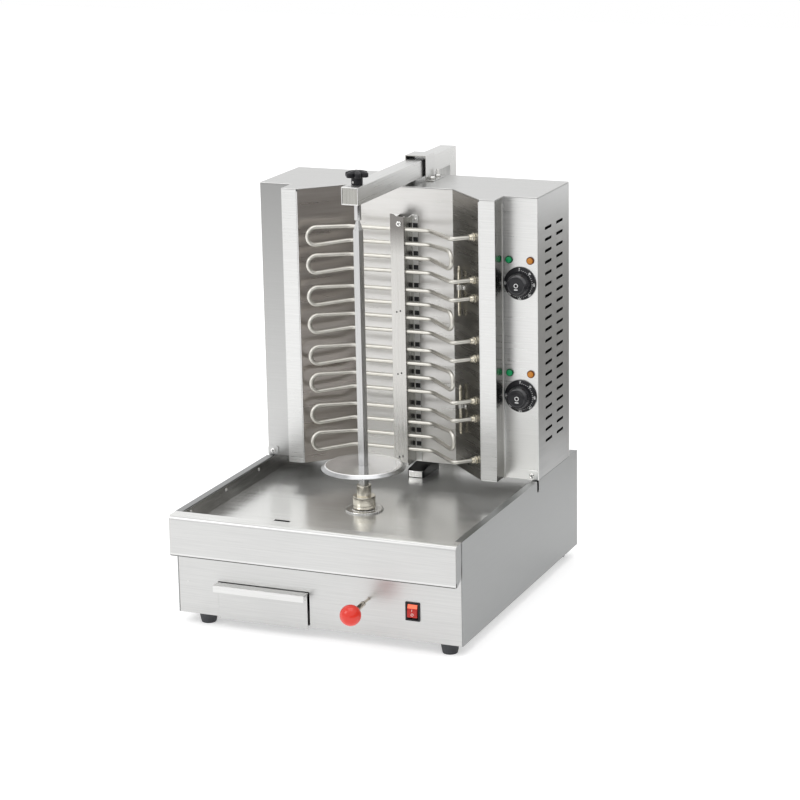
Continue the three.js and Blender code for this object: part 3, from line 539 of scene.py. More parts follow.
# ================================================================== tower
for tag, sgn in (("right", 1), ("left", -1)):
    side_ = bev(f"tower_side_{tag}", "panel_y", 0.45)
    side_.modifiers.clear()
    cuts = []
    for i in range(20):
        for ya, yb in ((452, 489), (517, 554)):
            zc = 269 + 22.15 * i
            pl = arc(ya + 2.3, zc, 2.9, 90, 270, 8) + arc(yb - 2.3, zc, 2.9, -90, 90, 8)
            cuts.append(g_prism(pl, sgn * 287.0 - 1, sgn * 291.0 + 1, "X") if sgn > 0 else g_prism(pl, -292.0, -286.0, "X"))
    boolean(side_, raw("c", *join(*cuts)))
    weighted(side_)
    # painted shade: the louvre slots' walls are drawn black
    side_.data.materials.append(M["black_shade"])
    side_.data.polygons.foreach_set("material_index", [
        1 if abs(p.normal.x) < 0.55 and OY + 0.448 < p.center.y < OY + 0.558 and OZ + 0.262 < p.center.z < OZ + 0.698 else 0
        for p in side_.data.polygons])
# painted shade: a black sheet behind the louvre slots
for tag, xa, xb in (("left", -288.3, -287.5), ("right", 287.5, 288.3)):
    piece(f"louvre_shade_sheet_{tag}", g_box(xa, xb, 446, 560, 262, 698), "black_shade", "base_unit", "black_plastic", 0)
bev("tower_back_pan", "panel_x", 0.5)
bev("tower_top", "panel_t", 0.7)
bev("front_panel_left", "panel_fl", 0.5)
bev("control_panel", "panel_c", 0.5)
# painted highlight: a bright strip along the control panel's fold
piece("control_panel_fold_highlight", g_box(222.0, 223.2, 399.4, 400.6, 206, 744), "lit_steel", "base_unit", "panel_steel", 0)


def by_normal(o, mats, pick):
    o.data.materials.clear()
    for m in mats:
        o.data.materials.append(M[m])
    o.data.polygons.foreach_set("material_index", [pick(p.normal) for p in o.data.polygons])


# painted shade by facing: the tray's inner walls take a dark copy of its steel, the apron's end faces the darker
# base-side steel
tray_shade_by_face = lambda p: 1 if p.normal.y < -0.5 and p.center.y < OY + 0.001 else (3 if abs(p.normal.x) > 0.6 and abs(p.center.x) > 0.2885 else (2 if abs(p.normal.x) > 0.6 or p.normal.y < -0.5 else 0))
tray.data.materials.clear()
for m in ("tray", "panel_f", "tray_wall", "panel_yb"):
    tray.data.materials.append(M[m])
tray.data.polygons.foreach_set("material_index", [tray_shade_by_face(p) for p in tray.data.polygons])
# painted light and shade by facing: the lip's top faces take the lit steel, its front a lighter copy, faces under the
# lip a dark copy
drawer.data.materials.clear()
for m in ("panel_f", "lit_steel", "panel_x", "leg"):
    drawer.data.materials.append(M[m])
drawer.data.polygons.foreach_set("material_index", [
    1 if p.normal.z > 0.7 and p.center.z > OZ + 0.060 else (3 if p.normal.z < -0.5 and p.center.y < OY - 0.004 else (2 if p.normal.y < -0.5 and p.center.y < OY - 0.018 else 0))
    for p in drawer.data.polygons])
# soft line of shadow that the lip leaves on the drawer's face
piece("drawer_lip_line", g_box(-201.5, -22.5, -3.25, -2.9, 53.2, 54.6), "return", "drawer", "panel_steel", 0)
# painted shade: the strips' sideways return faces take the darker steel
by_normal(bev("front_strip_right", "panel_x", 0.7), ("panel_x", "return"), lambda n: 1 if abs(n.x) > 0.7 else 0)
by_normal(bev("front_strip_left", "panel_x", 0.7), ("panel_x", "return"), lambda n: 1 if abs(n.x) > 0.7 else 0)
# painted reflection: the reflector's angled side panels take darker, tinted copies of its steel by facing
by_normal(bev("reflector", "reflector", 0.5), ("reflector", "refl_side", "refl_right"), lambda n: 0 if abs(n.x) < 0.4 else (1 if n.x * n.y < 0 else 2))
for sgn, tag in ((-1, "left"), (1, "right")):
    xa, xb = sorted((sgn * 190.2, sgn * 188.1))
    piece(f"reflector_edge_{tag}", g_box(xa, xb, 362.5, 364.2, 204, 752), "panel_x", "base_unit", "panel_steel", 0)
guide = bev("arm_guide", "panel_x", 0.5)
for m in ("dark", "leg"):
    guide.data.materials.append(M[m])


# painted shade: faces inside the guide's tunnel take the dark gap colour, its front faces a darker copy of the steel
def guide_face(p):
    x, z = p.center.x * 1000, (p.center.z - OZ) * 1000
    if (p.normal.z < -0.6 and z > 800) or (-20.2 < x < 21.2 and abs(p.normal.x) > 0.6 and x * p.normal.x < 0):
        return 1
    return 2 if p.normal.y < -0.6 else 0


guide.data.polygons.foreach_set("material_index", [guide_face(p) for p in guide.data.polygons])
arm = bev("arm_tube", "arm", 0.8)
# painted shade: the closed end inside the tube's mouth takes a darker copy of the steel
arm.data.materials.append(M["leg"])
yp = N("arm_tube")[0].y + 0.6
arm.data.polygons.foreach_set("material_index", [1 if p.normal.y < -0.7 and p.center.y > OY + yp / 1000 else 0 for p in arm.data.polygons])
bev("rear_post", "panel_z", 0.8)
bev("carriage_plate", "hidden", 0.5)
bev("gear_motor", "alu", 1.0)
bev("thermostat_upper", "alu", 0.8)
bev("thermostat_lower", "alu", 0.8)
bev("cable_gland", "black", 0.4)
bev("switch_housing", "black", 0.7, segs=3)

# =================================================================== feet
for n in ("foot_front_left", "foot_front_right", "foot_rear_left", "foot_rear_right"):
    a, b = N(n)
    cx, cy, top = (a.x + b.x) / 2, (a.y + b.y) / 2, b.z
    prof = [(0, -21.2), (4, -21.2), (4.6, -21.9), (12.6, -22), (13.6, -21.7), (14.3, -20.8), (14.7, -19.2), (18.0, -1.6), (18.4, -1.0), (18.4, -0.5), (18.0, -0.3), (5, -0.3), (5, 2), (0, 2)]
    v, f = g_lathe(prof, 48)
    piece(n + ".v", (place(v, (cx, cy, 0)), f), "rubber", "base_unit", "foot_rubber", 40, (n,))

# =============================================================== elements
ELEM_TOP, PITCH, RUN = 680.5, 119.2, 27.8
GX = 172.7
GP = (GX, 102 + 450 - GX)
ANG = math.sqrt(0.5)


def run_z(e, i):
    return ELEM_TOP - PITCH * e - RUN * i


def element_path(z_top):
    L, R = (-98, 410), (70, 410)
    LE, RE = (-149.6, 361), (126.4, 358.3)
    corner = (139.6, 346.2)
    tip = (GP[0] + 0.2 * ANG, GP[1] + 0.2 * ANG)
    r = 17.5
    z = lambda i: z_top - RUN * i
    V = lambda p, h: Vector((p[0], p[1], h))
    dl = (Vector(LE) - Vector(L)).normalized()
    dr = (Vector(RE) - Vector(R)).normalized()

    def hair(E, d, zc):
        out = []
        for s in range(17):
            a = math.pi * (s / 16 - 0.5)
            w = r * math.cos(a)
            out.append(Vector((E[0] + d.x * w, E[1] + d.y * w, zc - r * math.sin(a))))
        return out

    def bend(a, b, c, rad=24, steps=6):
        return fillet([a, b, c], rad, steps)[1:-1]

    c1, c2, c3 = z_top - RUN / 2, z_top - 1.5 * RUN, z_top - 2.5 * RUN
    o = [V(tip, z(0))]
    o += bend(V(tip, z(0)), V(corner, z(0)), V(R, z(0)), 9, 10)
    o += bend(V(corner, z(0)), V(R, z(0)), V(L, z(0)))
    o += bend(V(R, z(0)), V(L, z(0)), V(LE, c1 + r))
    o += hair(LE, dl, c1)
    o += bend(V(LE, c1 - r), V(L, z(1)), V(R, z(1)))
    o += bend(V(L, z(1)), V(R, z(1)), V(RE, c2 + r))
    o += hair(RE, dr, c2)
    o += bend(V(RE, c2 - r), V(R, z(2)), V(L, z(2)))
    o += bend(V(R, z(2)), V(L, z(2)), V(LE, c3 + r))
    o += hair(LE, dl, c3)
    o += bend(V(LE, c3 - r), V(L, z(3)), V(R, z(3)))
    o += bend(V(L, z(3)), V(R, z(3)), V(corner, z(3)))
    o += bend(V(R, z(3)), V(corner, z(3)), V(tip, z(3)), 9, 10)
    o.append(V(tip, z(3)))
    return o


for e in range(4):
    n = f"heating_element_{e + 1}"
    piece(n + ".v", g_tube(element_path(run_z(e, 0)), 4.0, 20), "sheath", "base_unit", "element_sheath", 60, (n,))

# element fittings: threaded spigot, hexagon nut and a washer in front of the panel
nrm = Vector((-ANG, -ANG, 0))                       # out of the right angled panel, towards the spit
parts = []
for e in range(4):
    for i in (0, 3):
        c = Vector((GP[0], GP[1], run_z(e, i)))
        th = []
        h = -3.2
        while h < 10.6:                              # thread crests
            th += [(5.35, h), (5.85, h + 0.45)]
            h += 0.9
        sp = [(4.65, -3.6), (5.2, -3.6)] + th + [(5.0, 11.2), (4.65, 11.2)]
        parts.append((lambda vf: (place(vf[0], c, nrm), vf[1]))(closed_lathe(sp, 28)))
        for z0, z1, rr in ((1.0, 5.4, 7.6),):
            q = [(4.7, z0), (rr * 0.93, z0), (rr, z0 + 0.5), (rr, z1 - 0.5), (rr * 0.90, z1), (4.7, z1)]
            parts.append((lambda vf: (place(vf[0], c, nrm, spin=0.3 + e * 0.5 + i * 0.2), vf[1]))(closed_lathe(q, 6)))
        q = [(4.7, 0.15), (8.2, 0.15), (8.4, 0.4), (8.4, 0.9), (8.1, 1.1), (4.7, 1.1)]
        parts.append((lambda vf: (place(vf[0], c, nrm), vf[1]))(closed_lathe(q, 32)))
bar = g_box(-15, 15, 3.2, 6.2, 225, 695)
bar = ([(GP[0] + p[0] * ANG + p[1] * ANG, GP[1] - p[0] * ANG + p[1] * ANG, p[2]) for p in bar[0]], bar[1])
glands = piece("element_glands.v", join(*parts), "brass", "base_unit", "gland_brass", 35, ("element_glands",))
piece("gland_bar", bar, "hidden", "base_unit", "hidden_steel", 30, bevel=0.5)

# ============================================= comb bracket and clamp bar
CX = 4
a, b = N("comb_bracket")
foot_l = [(CX - 30, 205), (CX - 12.5, 205), (CX - 12.5, 702), (CX - 28, 702), (CX - 30, 700)]
foot_r = [(CX + 12.5, 205), (CX + 26, 205), (CX + 26, 700), (CX + 24, 702), (CX + 12.5, 702)]
web = [(CX - 12.5, 205), (CX + 12.5, 205), (CX + 12.5, 690), (CX + 8, 686), (CX - 8, 686), (CX - 12.5, 690)]
leg = [(449.7, 205), (449.7, 701.5), (445, 702), (436, 700.6), (428, 700.8), (420, 703), (412, 705.6), (405.3, 706)]
for e in range(4):
    for i in range(4):
        z = run_z(e, i)
        leg += [(405.3, z + 5), (414, z + 5), (415.5, z + 3.5), (415.5, z - 3.5), (414, z - 5), (405.3, z - 5)]
leg.append((405.3, 205))
cb = raw("comb_bracket.v", *join(g_prism(foot_l, 447.7, 449.7, "Y"), g_prism(foot_r, 447.7, 449.7, "Y"),
                                  g_prism(web, 447.72, 449.68, "Y"),
                                  g_prism(leg, CX - 14, CX - 12, "X"), g_prism(leg, CX + 12, CX + 14, "X")))
bevel_mesh(cb.data, 0.35, 2, 30)
dress(cb, "comb", "base_unit", "bright_steel", 50, ("comb_bracket",))
# painted light and shade by facing: front faces take the lit steel, sideways faces the dark copy
by_normal(cb, ("lit_steel", "leg"), lambda n: 1 if abs(n.x) > 0.6 else 0)
weighted(cb)
# painted shade in the windows of the perforated strip in both feet, one between each pair of runs
wins = []
for e in range(4):
    for i in range(4):
        z = run_z(e, i) + 1.2
        wins.append(g_prism([(CX + 15.4, z - 4.6), (CX + 25.4, z - 4.6), (CX + 25.4, z + 4.6), (CX + 15.4, z + 4.6)], 447.45, 447.75, "Y"))
        wins.append(g_prism([(CX - 29.4, z - 4.6), (CX - 19.4, z - 4.6), (CX - 19.4, z + 4.6), (CX - 29.4, z + 4.6)], 447.45, 447.75, "Y"))
piece("comb_window_shade", join(*wins), "dark", "base_unit", "black_plastic", 30)
clamp = raw("clamp_bar.v", *g_prism([(CX - 14.2, 212), (CX + 14.2, 212), (CX + 14.2, 705.5), (CX - 3, 706.5), (CX - 7, 710), (CX - 14.2, 711)][::-1], 402.8, 405, "Y"))
for zc in (518, 393, 222):
    for dx in (-3.4, 4.2):
        v, f = g_lathe([(1.5, -6), (1.5, 6)], 16)
        boolean(clamp, raw("c", place(v, (CX + dx, 404, zc + dx * 0.3), (0, 1, 0)), f))
bevel_mesh(clamp.data, 0.35, 2, 40)
# the comb steel carries painted shade towards the clamp bar's top
dress(clamp, "comb", "base_unit", "bright_steel", 50, ("clamp_bar",))
weighted(clamp)
# painted shade: dark discs over the clamp bar's holes
dots = []
for zc in (518, 393, 224):
    for dx in (-3.4, 4.2):
        v, f = closed_lathe([(0.02, 0), (1.75, 0), (1.75, 0.12), (0.02, 0.12)], 16)
        dots.append((place(v, (CX + dx, 402.79, zc + dx * 0.3), (0, -1, 0)), f))
piece("clamp_bar_hole_shade", join(*dots), "dark", "base_unit", "black_plastic", 30)
screw("clamp_screw", (CX + 4, 402.8, 692), (0, -1, 0), 5.7, 3.0, "screw", "base_unit", "bright_steel", 0.5)
rivet("comb_rivet_top", (CX + 20.5, 447.7, 694), (0, -1, 0), 2.6, 1.4, "bright", "base_unit", "bright_steel")

# ================================================ thermostat bulbs, clips
for tag, zb in (("upper", 514), ("lower", 277)):
    prof = [(0, 0), (1.3, 0.2), (2.4, 0.8), (3.4, 1.9), (3.85, 3.2), (4, 5)]
    prof += [(4, 88), (3.95, 92), (3.4, 95.5), (2.2, 98.6), (1.1, 100), (0, 100)]
    prof = [(r * 0.80, h) for r, h in prof]
    v, f = g_lathe(prof, 28)
    piece(f"thermostat_bulb_{tag}.v", (place(v, (126, 418, zb)), f), "bulb", "base_unit", "bulb_brass", 60, (f"thermostat_bulb_{tag}",))
    # clip: strap wrapped round the bulb with a tab screwed to the panel
    foot = Vector((126 + 5.6 * ANG, 418 + 5.6 * ANG, zb + 58))
    oc = [(19, -0.3), (19, -1.3), (5.2, -1.3)] + arc(0, -5.6, 5.3, 55, -235, 22) + arc(0, -5.6, 4.3, -232, 52, 22) + [(3.4, -0.3)]
    v, f = g_prism(oc, -5, 5, "Z")
    v = [tuple(foot + Vector((p[0] * ANG + p[1] * ANG, -p[0] * ANG + p[1] * ANG, p[2]))) for p in v]
    piece(f"bulb_clip_{tag}.v", (v, f), "bright", "base_unit", "bright_steel", 40, (f"bulb_clip_{tag}",))
    sx = foot + Vector((13 * ANG - 1.3 * ANG, -13 * ANG - 1.3 * ANG, 0))
    screw(f"clip_screw_{tag}", tuple(sx), nrm, 3.8, 2.2, "bright", "base_unit", "bright_steel", 0.9)

# ============================================================ pilot lamps
for n, mt in (("lamp_green_upper", "green"), ("lamp_amber_upper", "amber"), ("lamp_green_lower", "green"), ("lamp_amber_lower", "amber")):
    a, b = N(n)
    cx, cz, fy = (a.x + b.x) / 2, (a.z + b.z) / 2, 410
    ring = [(6.0, 0.3), (7.5, 0.3), (7.6, 0.5), (7.6, 2.0), (7.35, 2.7), (6.9, 3.1), (6.4, 3.2), (6.0, 2.7)]
    v, f = closed_lathe(ring, 40)
    lens = [(0, -17.9), (4.9, -17.9), (4.9, 0.3), (5.95, 0.3), (5.95, 4.2), (5.7, 5.3), (5.0, 6.3), (3.8, 7.0), (2.2, 7.4), (0, 7.5)]
    lv, lf = g_lathe(lens, 40)
    piece(n + ".ring", (place(v, (cx, fy, cz), (0, -1, 0)), f), mt + "_ring", "base_unit", SLOT[n], 40)
    piece(n + ".v", (place(lv, (cx, fy, cz), (0, -1, 0)), lf), mt, "base_unit", SLOT[n], 50, (n,))

# painted shade: a dark sheet lining the inside of the louvres
for sgn, tag in ((1, "right"), (-1, "left")):
    xa, xb = sorted((sgn * 287.8, sgn * 286.6))
    piece(f"louvre_shade_lining_{tag}", g_box(xa, xb, 446, 560, 256, 706), "dark", "base_unit", "black_plastic", 0, bevel=0.2)
# ================================================================== knobs
for n, body in (("knob_upper", "knob_upper_body"), ("knob_lower", "knob_lower_body")):
    a, b = N(n)
    cx, cz = (a.x + b.x) / 2, (a.z + b.z) / 2
    y0 = 409.5
    skirt = [(0, -10.9), (2.9, -10.9), (2.9, 0.4), (5.4, 0.4), (5.4, 0.9), (31.4, 0.9), (31.9, 1.2), (32, 1.8), (32, 2.7), (31.5, 3.2), (24.6, 6.0), (0, 6.4)]
    v, f = g_lathe(skirt, 72)
    piece(n + ".v", (place(v, (cx, y0, cz), (0, -1, 0)), f), "black", body, "black_plastic", 35, (n,))
    # cap: fluted round the side, rounded shoulder, shallow dished face
    nf, sides = 36, 144
    cv, cf = [], []
    rows = [(24.0, 6.0, .45), (23.5, 9, .55), (22.8, 13, .55), (22.0, 17, .5), (20.9, 20.4, .35), (19.8, 22.6, .15), (18.4, 24.2, .0), (17.0, 24.9, 0), (16.0, 24.9, 0), (15.2, 24.4, 0), (8, 24.1, 0), (0.01, 24.05, 0)]
    for r, h, fl in rows:
        for k in range(sides):
            a2 = 2 * math.pi * k / sides
            rr = r - fl * (0.5 + 0.5 * math.cos(nf * a2))
            cv.append((rr * math.cos(a2), rr * math.sin(a2), h))
    for r in range(len(rows) - 1):
        for k in range(sides):
            q = (k + 1) % sides
            cf.append((r * sides + k, (r + 1) * sides + k, (r + 1) * sides + q, r * sides + q))
    cap = piece(n + ".cap", (place(cv, (cx, y0, cz), (0, -1, 0)), cf), "knobcap", body, "black_plastic", 40)
    # painted highlight: upward-facing shoulder faces of the cap take a lighter, glossier black
    by_normal(cap, ("knobcap", "knob_edge_highlight"), lambda n: 1 if -0.94 < n.y < -0.3 and n.z > 0 else 0)
    # scale on the skirt: long ticks, short ticks and plain numbers; pointer on the cap
    marks = []
    slope = math.atan2(2.8, 6.9)
    for k in range(0, 31):
        ang = math.radians(90 - k * 9.0)
        r0, r1 = (25.6, 27.0) if k % 5 else (25.4, 27.8)
        wv = 0.28 if k % 5 else 0.38
        hh = lambda r: 3.2 + (31.5 - r) * (2.8 / 6.9) + 0.06
        c, s = math.cos(ang), math.sin(ang)
        vv = [(r0 * c - wv * s, r0 * s + wv * c, hh(r0)), (r0 * c + wv * s, r0 * s - wv * c, hh(r0)),
              (r1 * c + wv * s, r1 * s - wv * c, hh(r1)), (r1 * c - wv * s, r1 * s + wv * c, hh(r1))]
        vv += [(p[0], p[1], p[2] - 0.25) for p in vv]
        marks.append((vv, [(0, 1, 2, 3), (4, 7, 6, 5), (0, 4, 5, 1), (1, 5, 6, 2), (2, 6, 7, 3), (3, 7, 4, 0)]))
    mv, mf = join(*marks)
    # seen from the front, the local x axis of this placement runs to the viewer's right
    piece(n + ".ticks", (place(mv, (cx, y0, cz), (0, -1, 0), (1, 0, 0)), mf), "white", body, "white_print", 0)
    rv, rf = closed_lathe([(3.3, 24.1), (4.2, 24.1), (4.2, 24.5), (3.3, 24.5)], 40)
    qv, qf = g_prism([(-3.6, -8.4), (3.6, -8.4), (3.6, -7.0), (-3.6, -7.0)], 24.1, 24.5, "Z")
    mv, mf = join((rv, rf), (qv, qf))
    piece(n + ".mark", (place(mv, (cx, y0, cz), (0, -1, 0), (1, 0, 0)), mf), "white", body, "white_print", 0)
    for k, word in enumerate(("0", "50", "100", "150", "200", "250", "300")):
        cu = bpy.data.curves.new(n + ".n" + word, "FONT")
        cu.body = word
        cu.size = 4.6 / 1000
        cu.align_x = "CENTER"
        cu.align_y = "CENTER"
        cu.extrude = 0.00012
        t = bpy.data.objects.new(n + ".n" + word, cu)
        bpy.context.collection.objects.link(t)
        ang = math.radians(90 - k * 45)
        rr = 29.4
        pos = W(cx + rr * math.cos(ang), y0 - (3.2 + (31.5 - rr) * (2.8 / 6.9) + 0.10), cz + rr * math.sin(ang))
        # upright towards the knob's rim
        ux = Vector((math.cos(ang - math.pi / 2), 0, math.sin(ang - math.pi / 2)))
        uy = Vector((math.cos(ang), 0, math.sin(ang)))
        uy = (uy + Vector((0, 1, 0)) * math.tan(slope)).normalized()
        uz = ux.cross(uy)
        t.matrix_world = Matrix(((ux.x, uy.x, uz.x, pos.x), (ux.y, uy.y, uz.y, pos.y), (ux.z, uy.z, uz.z, pos.z), (0, 0, 0, 1)))
        bpy.context.view_layer.update()
        me = bpy.data.meshes.new_from_object(t)
        me.transform(t.matrix_world)
        bpy.data.objects.remove(t)
        o = bpy.data.objects.new(n + ".num" + word, me)
        bpy.context.collection.objects.link(o)
        dress(o, "white", body, "white_print", 0)

# ================================================================= rocker
a, b = N("switch_rocker")
SX, SZ = 191.8, 56.6
tilt = math.radians(-10)


def rk(p):
    """rocker's own frame (x, y, z about its pivot) to the machine frame"""
    x, y, z = p
    return (SX + x, 6 + y * math.cos(tilt) - z * math.sin(tilt), SZ + y * math.sin(tilt) + z * math.cos(tilt))


prof = [(4, -10), (4, 10), (-8.6, 12.6), (-9.3, 12.2), (-9.9, 8), (-10.55, 3), (-10.7, 0), (-10.55, -3), (-9.9, -8), (-9.3, -12.2), (-8.6, -12.6)]
v, f = g_prism(prof, -9.8, 9.8, "X")
o = raw("switch_rocker.v", [rk((p[0], p[1], p[2])) for p in v], f)
bevel_mesh(o.data, 0.5, 2, 40)
dress(o, "rocker", "rocker", "switch_red", 40, ("switch_rocker",))
weighted(o)
# painted light: the rocker's upper end is drawn brighter and glowing, for light falling on its upward face
hv, hf = g_prism([(-8.7, 12.5), (-9.38, 12.1), (-10.02, 7.6), (-10.4, 4.6), (-9.8, 4.6), (-9.0, 11.0)], -9.5, 9.5, "X")
piece("rocker_upper_end_light", ([rk(p) for p in hv], hf), "rocker_painted_light", "rocker", "switch_red", 40)
iv, if_ = g_box(-0.45, 0.45, -10.75, -10.3, -1.2, 3.0)
piece("rocker_mark_on", ([rk((p[0] - 0.5, p[1], p[2])) for p in iv], if_), "pinkmark", "rocker", "white_print", 0, bevel=0.1)
rv, rf = closed_lathe([(1.9, 0), (2.6, 0), (2.6, 0.5), (1.9, 0.5)], 28)
rv = place(rv, (0.6, -10.15, -7.0), (0, -1, -0.10))
piece("rocker_mark_off", ([rk(p) for p in rv], rf), "pinkmark", "rocker", "white_print", 40)

# ================================================================== lever
BX, BY, BZ = 104.5, -85, 71 - 3.86
rodpath = fillet([(104.5, 213.7, 71), (104.5, -16, 71), (104.5, -62, 71 - 2.57)], 14, 8)
ax = Vector((0, -math.cos(math.radians(3.2)), -math.sin(math.radians(3.2))))
sl = [(2.6, -21), (4.4, -21), (4.9, -20.4), (5, -19.6), (5, 21), (4.6, 21.6), (2.6, 21.6)]
v, f = closed_lathe(sl, 36)
sv = place(v, (104.5, -47.5, 71 - 1.76), tuple(ax))
piece("lever_rod.v", join(g_tube(rodpath, 2.5, 20), (sv, f)), "sleeve", "carriage", "chrome_plate", 40, ("lever_rod",))
v, f = closed_lathe([(4.9, 16.6), (5.12, 16.7), (5.12, 18.4), (4.9, 18.5)], 36)
piece("lever_sleeve_ring", (place(v, (104.5, -47.5, 71 - 1.76), tuple(ax)), f), "dark", "carriage", "black_plastic", 40)
v, f = closed_lathe([(4.9, -20.0), (5.12, -19.9), (5.12, -18.6), (4.9, -18.5)], 36)
piece("lever_sleeve_groove", (place(v, (104.5, -47.5, 71 - 1.76), tuple(ax)), f), "dark", "carriage", "black_plastic", 40)
R = 19.9
bp_ = [(0, R)] + [(R * math.sin(math.radians(t)), R * math.cos(math.radians(t))) for t in range(6, 162, 6)]
bp_ += [(7.0, -R * 0.955), (6.6, -R * 0.962), (5.4, -R * 0.962), (5.4, -R * 0.6), (0, -R * 0.6)]
v, f = g_lathe(bp_, 64)
piece("lever_ball.v", (place(v, (BX, BY, BZ), tuple(ax)), f), "ball", "carriage", "ball_red", 45, ("lever_ball",))
# plain bush round the rod's hole
v, f = closed_lathe([(2.7, 0.05), (5.2, 0.05), (5.2, 0.35), (4.8, 0.7), (3.1, 0.7), (2.7, 0.5)], 32)
piece("lever_bush", (place(v, (104.5, 0, 71), (0, -1, 0)), f), "panel_f", "base_unit", "panel_steel", 40)

# ========================================================== spit, bottom up
SPY = 226
v, f = closed_lathe([(10.8, 0), (37, 0), (37, 1.9), (36.6, 2.5), (35.9, 2.6), (35.2, 2.3), (34.4, 1.5), (33.4, 1.3), (25.4, 1.3), (24.5, 1.7), (23.9, 2.5), (23.0, 2.8), (11.4, 2.8), (10.8, 2.4)], 96)
piece("slot_cover.v", (place(v, (0, SPY, 166.3)), f), "bright", "carriage", "chrome_plate", 30, ("slot_cover",))
c14, s14 = math.cos(math.radians(-14)), math.sin(math.radians(-14))


def sp(p):
    return (p[0] * c14 - p[1] * s14, SPY + p[0] * s14 + p[1] * c14, p[2])


so = [(0, 98), (10.2, 98), (10.2, 170.6), (20.6, 170.6), (21.6, 171.0), (22, 171.9), (22, 192.9), (21.7, 193.9), (20.9, 194.6), (14.6, 194.6), (14.0, 195.0), (14, 214.2), (13.7, 215.3), (12.9, 216), (0, 216)]
v, f = g_lathe(so, 96)
o = raw("drive_socket.v", [sp(p) for p in v], f)
cv, cf = g_box(-7.4, 7.4, -7.4, 7.4, 184, 220)
boolean(o, raw("c", [sp(p) for p in cv], cf))
dress(o, "socket", "spit", "chrome_plate", 30, ("drive_socket",))
hb = 7.0
bar = raw("spit_bar.v", *(lambda vf: ([sp(p) for p in vf[0]], vf[1]))(g_box(-hb, hb, -hb, hb, 184.4, 714)))
bevel_mesh(bar.data, 0.7, 3, 30, dissolve=False)
tipv, tipf = g_lathe([(hb * math.sqrt(2) - 0.9, 713.6), (3.6, 731.4), (3.2, 732.2), (2.9, 738), (1.6, 746), (0.9, 747.4), (0, 747.5)], 4, math.pi / 4)
tip = raw("t", [sp(p) for p in tipv], tipf)
bevel_mesh(tip.data, 0.5, 2, 30, dissolve=False)
vb, fb = [], []
for ob in (bar, tip):
    k = len(vb)
    vb += [tuple(p.co) for p in ob.data.vertices]
    fb += [tuple(i + k for i in q.vertices) for q in ob.data.polygons]
bpy.data.objects.remove(bar)
bpy.data.objects.remove(tip)
o = raw("spit_bar.v", vb, fb, mm=False)
dress(o, "bar", "spit", "bright_steel", 35, ("spit_bar",))
weighted(o)
dz, dr = 256.5, 81.5
dp = [(0, dz - 20), (13.4, dz - 20), (14, dz - 19.4), (14, dz - 2), (dr - 9.4, dz - 2)]
dp += [(dr - 8.6, dz - 2.5), (dr - 1.2, dz - 7.5), (dr - 0.6, dz - 7.4), (dr - 0.1, dz - 6.7), (dr - 0.15, dz - 6.0), (dr - 6.6, dz - 1.1), (dr - 7.4, dz - 0.45), (dr - 8.2, dz - 0.1), (dr - 9.2, dz), (dr - 10.5, dz - 0.12), (dr - 12, dz - 0.5), (dr - 14, dz - 0.6), (0, dz - 0.6)]
v, f = g_lathe(dp, 128)
o = raw("drip_disc.v", [sp(p) for p in v], f)
cv, cf = g_box(-7.4, 7.4, -7.4, 7.4, dz - 30, dz + 5)
boolean(o, raw("c", [sp(p) for p in cv], cf))
dress(o, "disc", "spit", "bright_steel", 28, ("drip_disc",))
rimc = W(0, SPY, 0)
o.data.materials.append(M["disc_rim"])
o.data.materials.append(M["disc_crest"])


# painted highlight and shade: the rim's crest takes a bright copy of the steel, its outer skirt a darker copy
def disc_face(p):
    rr = math.hypot(p.center.x - rimc.x, p.center.y - rimc.y) * 1000
    return (2 if rr < dr - 5.0 else 1) if rr > dr - 9.8 and p.center.z * 1000 - OZ * 1000 > dz - 4 else (1 if rr > dr - 9.8 else 0)


o.data.polygons.foreach_set("material_index", [disc_face(p) for p in o.data.polygons])

# ============================================================== top pivot
pp = [(0, 757), (4.6, 757), (4.6, 733), (5.4, 732), (6.2, 732.1), (6.6, 732.8), (6.6, 765.2), (6.2, 765.7), (5, 765.7), (5, 811.6), (4.6, 812), (0, 812)]
v, f = g_lathe(pp, 48)
piece("pivot_pin.v", ([(p[0], p[1] + SPY, p[2]) for p in v], f), "bar", "top_pivot", "chrome_plate", 30, ("pivot_pin",))
out = []
for i in range(6):
    c = i * 60
    out += [(17.4 * math.cos(math.radians(c)) + 5.6 * math.cos(math.radians(c + t)), 17.4 * math.sin(math.radians(c)) + 5.6 * math.sin(math.radians(c + t))) for t in range(-72, 73, 12)]
    m = c + 30
    out += [(13.6 * math.cos(math.radians(m)), 13.6 * math.sin(math.radians(m)))]
n_ = len(out)
rows = [(0.93, 813.8), (0.98, 814.4), (1.0, 815.4), (1.0, 820.4), (0.985, 821.6), (0.95, 822.4), (0.86, 822.9), (0.74, 823.9), (0.56, 825.1), (0.36, 826.0), (0.16, 826.4)]
kv, kf = [], []
for s, h in rows:
    kv += [(x * s, y * s + SPY, h) for x, y in out]
for r in range(len(rows) - 1):
    for k in range(n_):
        q = (k + 1) % n_
        kf.append((r * n_ + k, r * n_ + q, (r + 1) * n_ + q, (r + 1) * n_ + k))
kf.append(tuple(range((len(rows) - 1) * n_, len(rows) * n_)))
kf.append(tuple(range(n_))[::-1])
hubp = [(5.3, 800.3), (10.4, 800.3), (11, 800.9), (11, 814.5), (5.3, 814.5)]
hv, hf = closed_lathe(hubp, 48)
hv = [(p[0], p[1] + SPY, p[2]) for p in hv]
piece("star_knob.v", join((kv, kf), (hv, hf)), "black", "top_pivot", "black_plastic", 40, ("star_knob",))
v, f = g_lathe([(2.1, -0.4), (2.1, 0.1), (1.8, 0.4), (0.9, 0.4), (0.9, -0.3), (0, -0.3)], 20)
dirn = (-math.sin(math.radians(22)), -math.cos(math.radians(22)), 0)
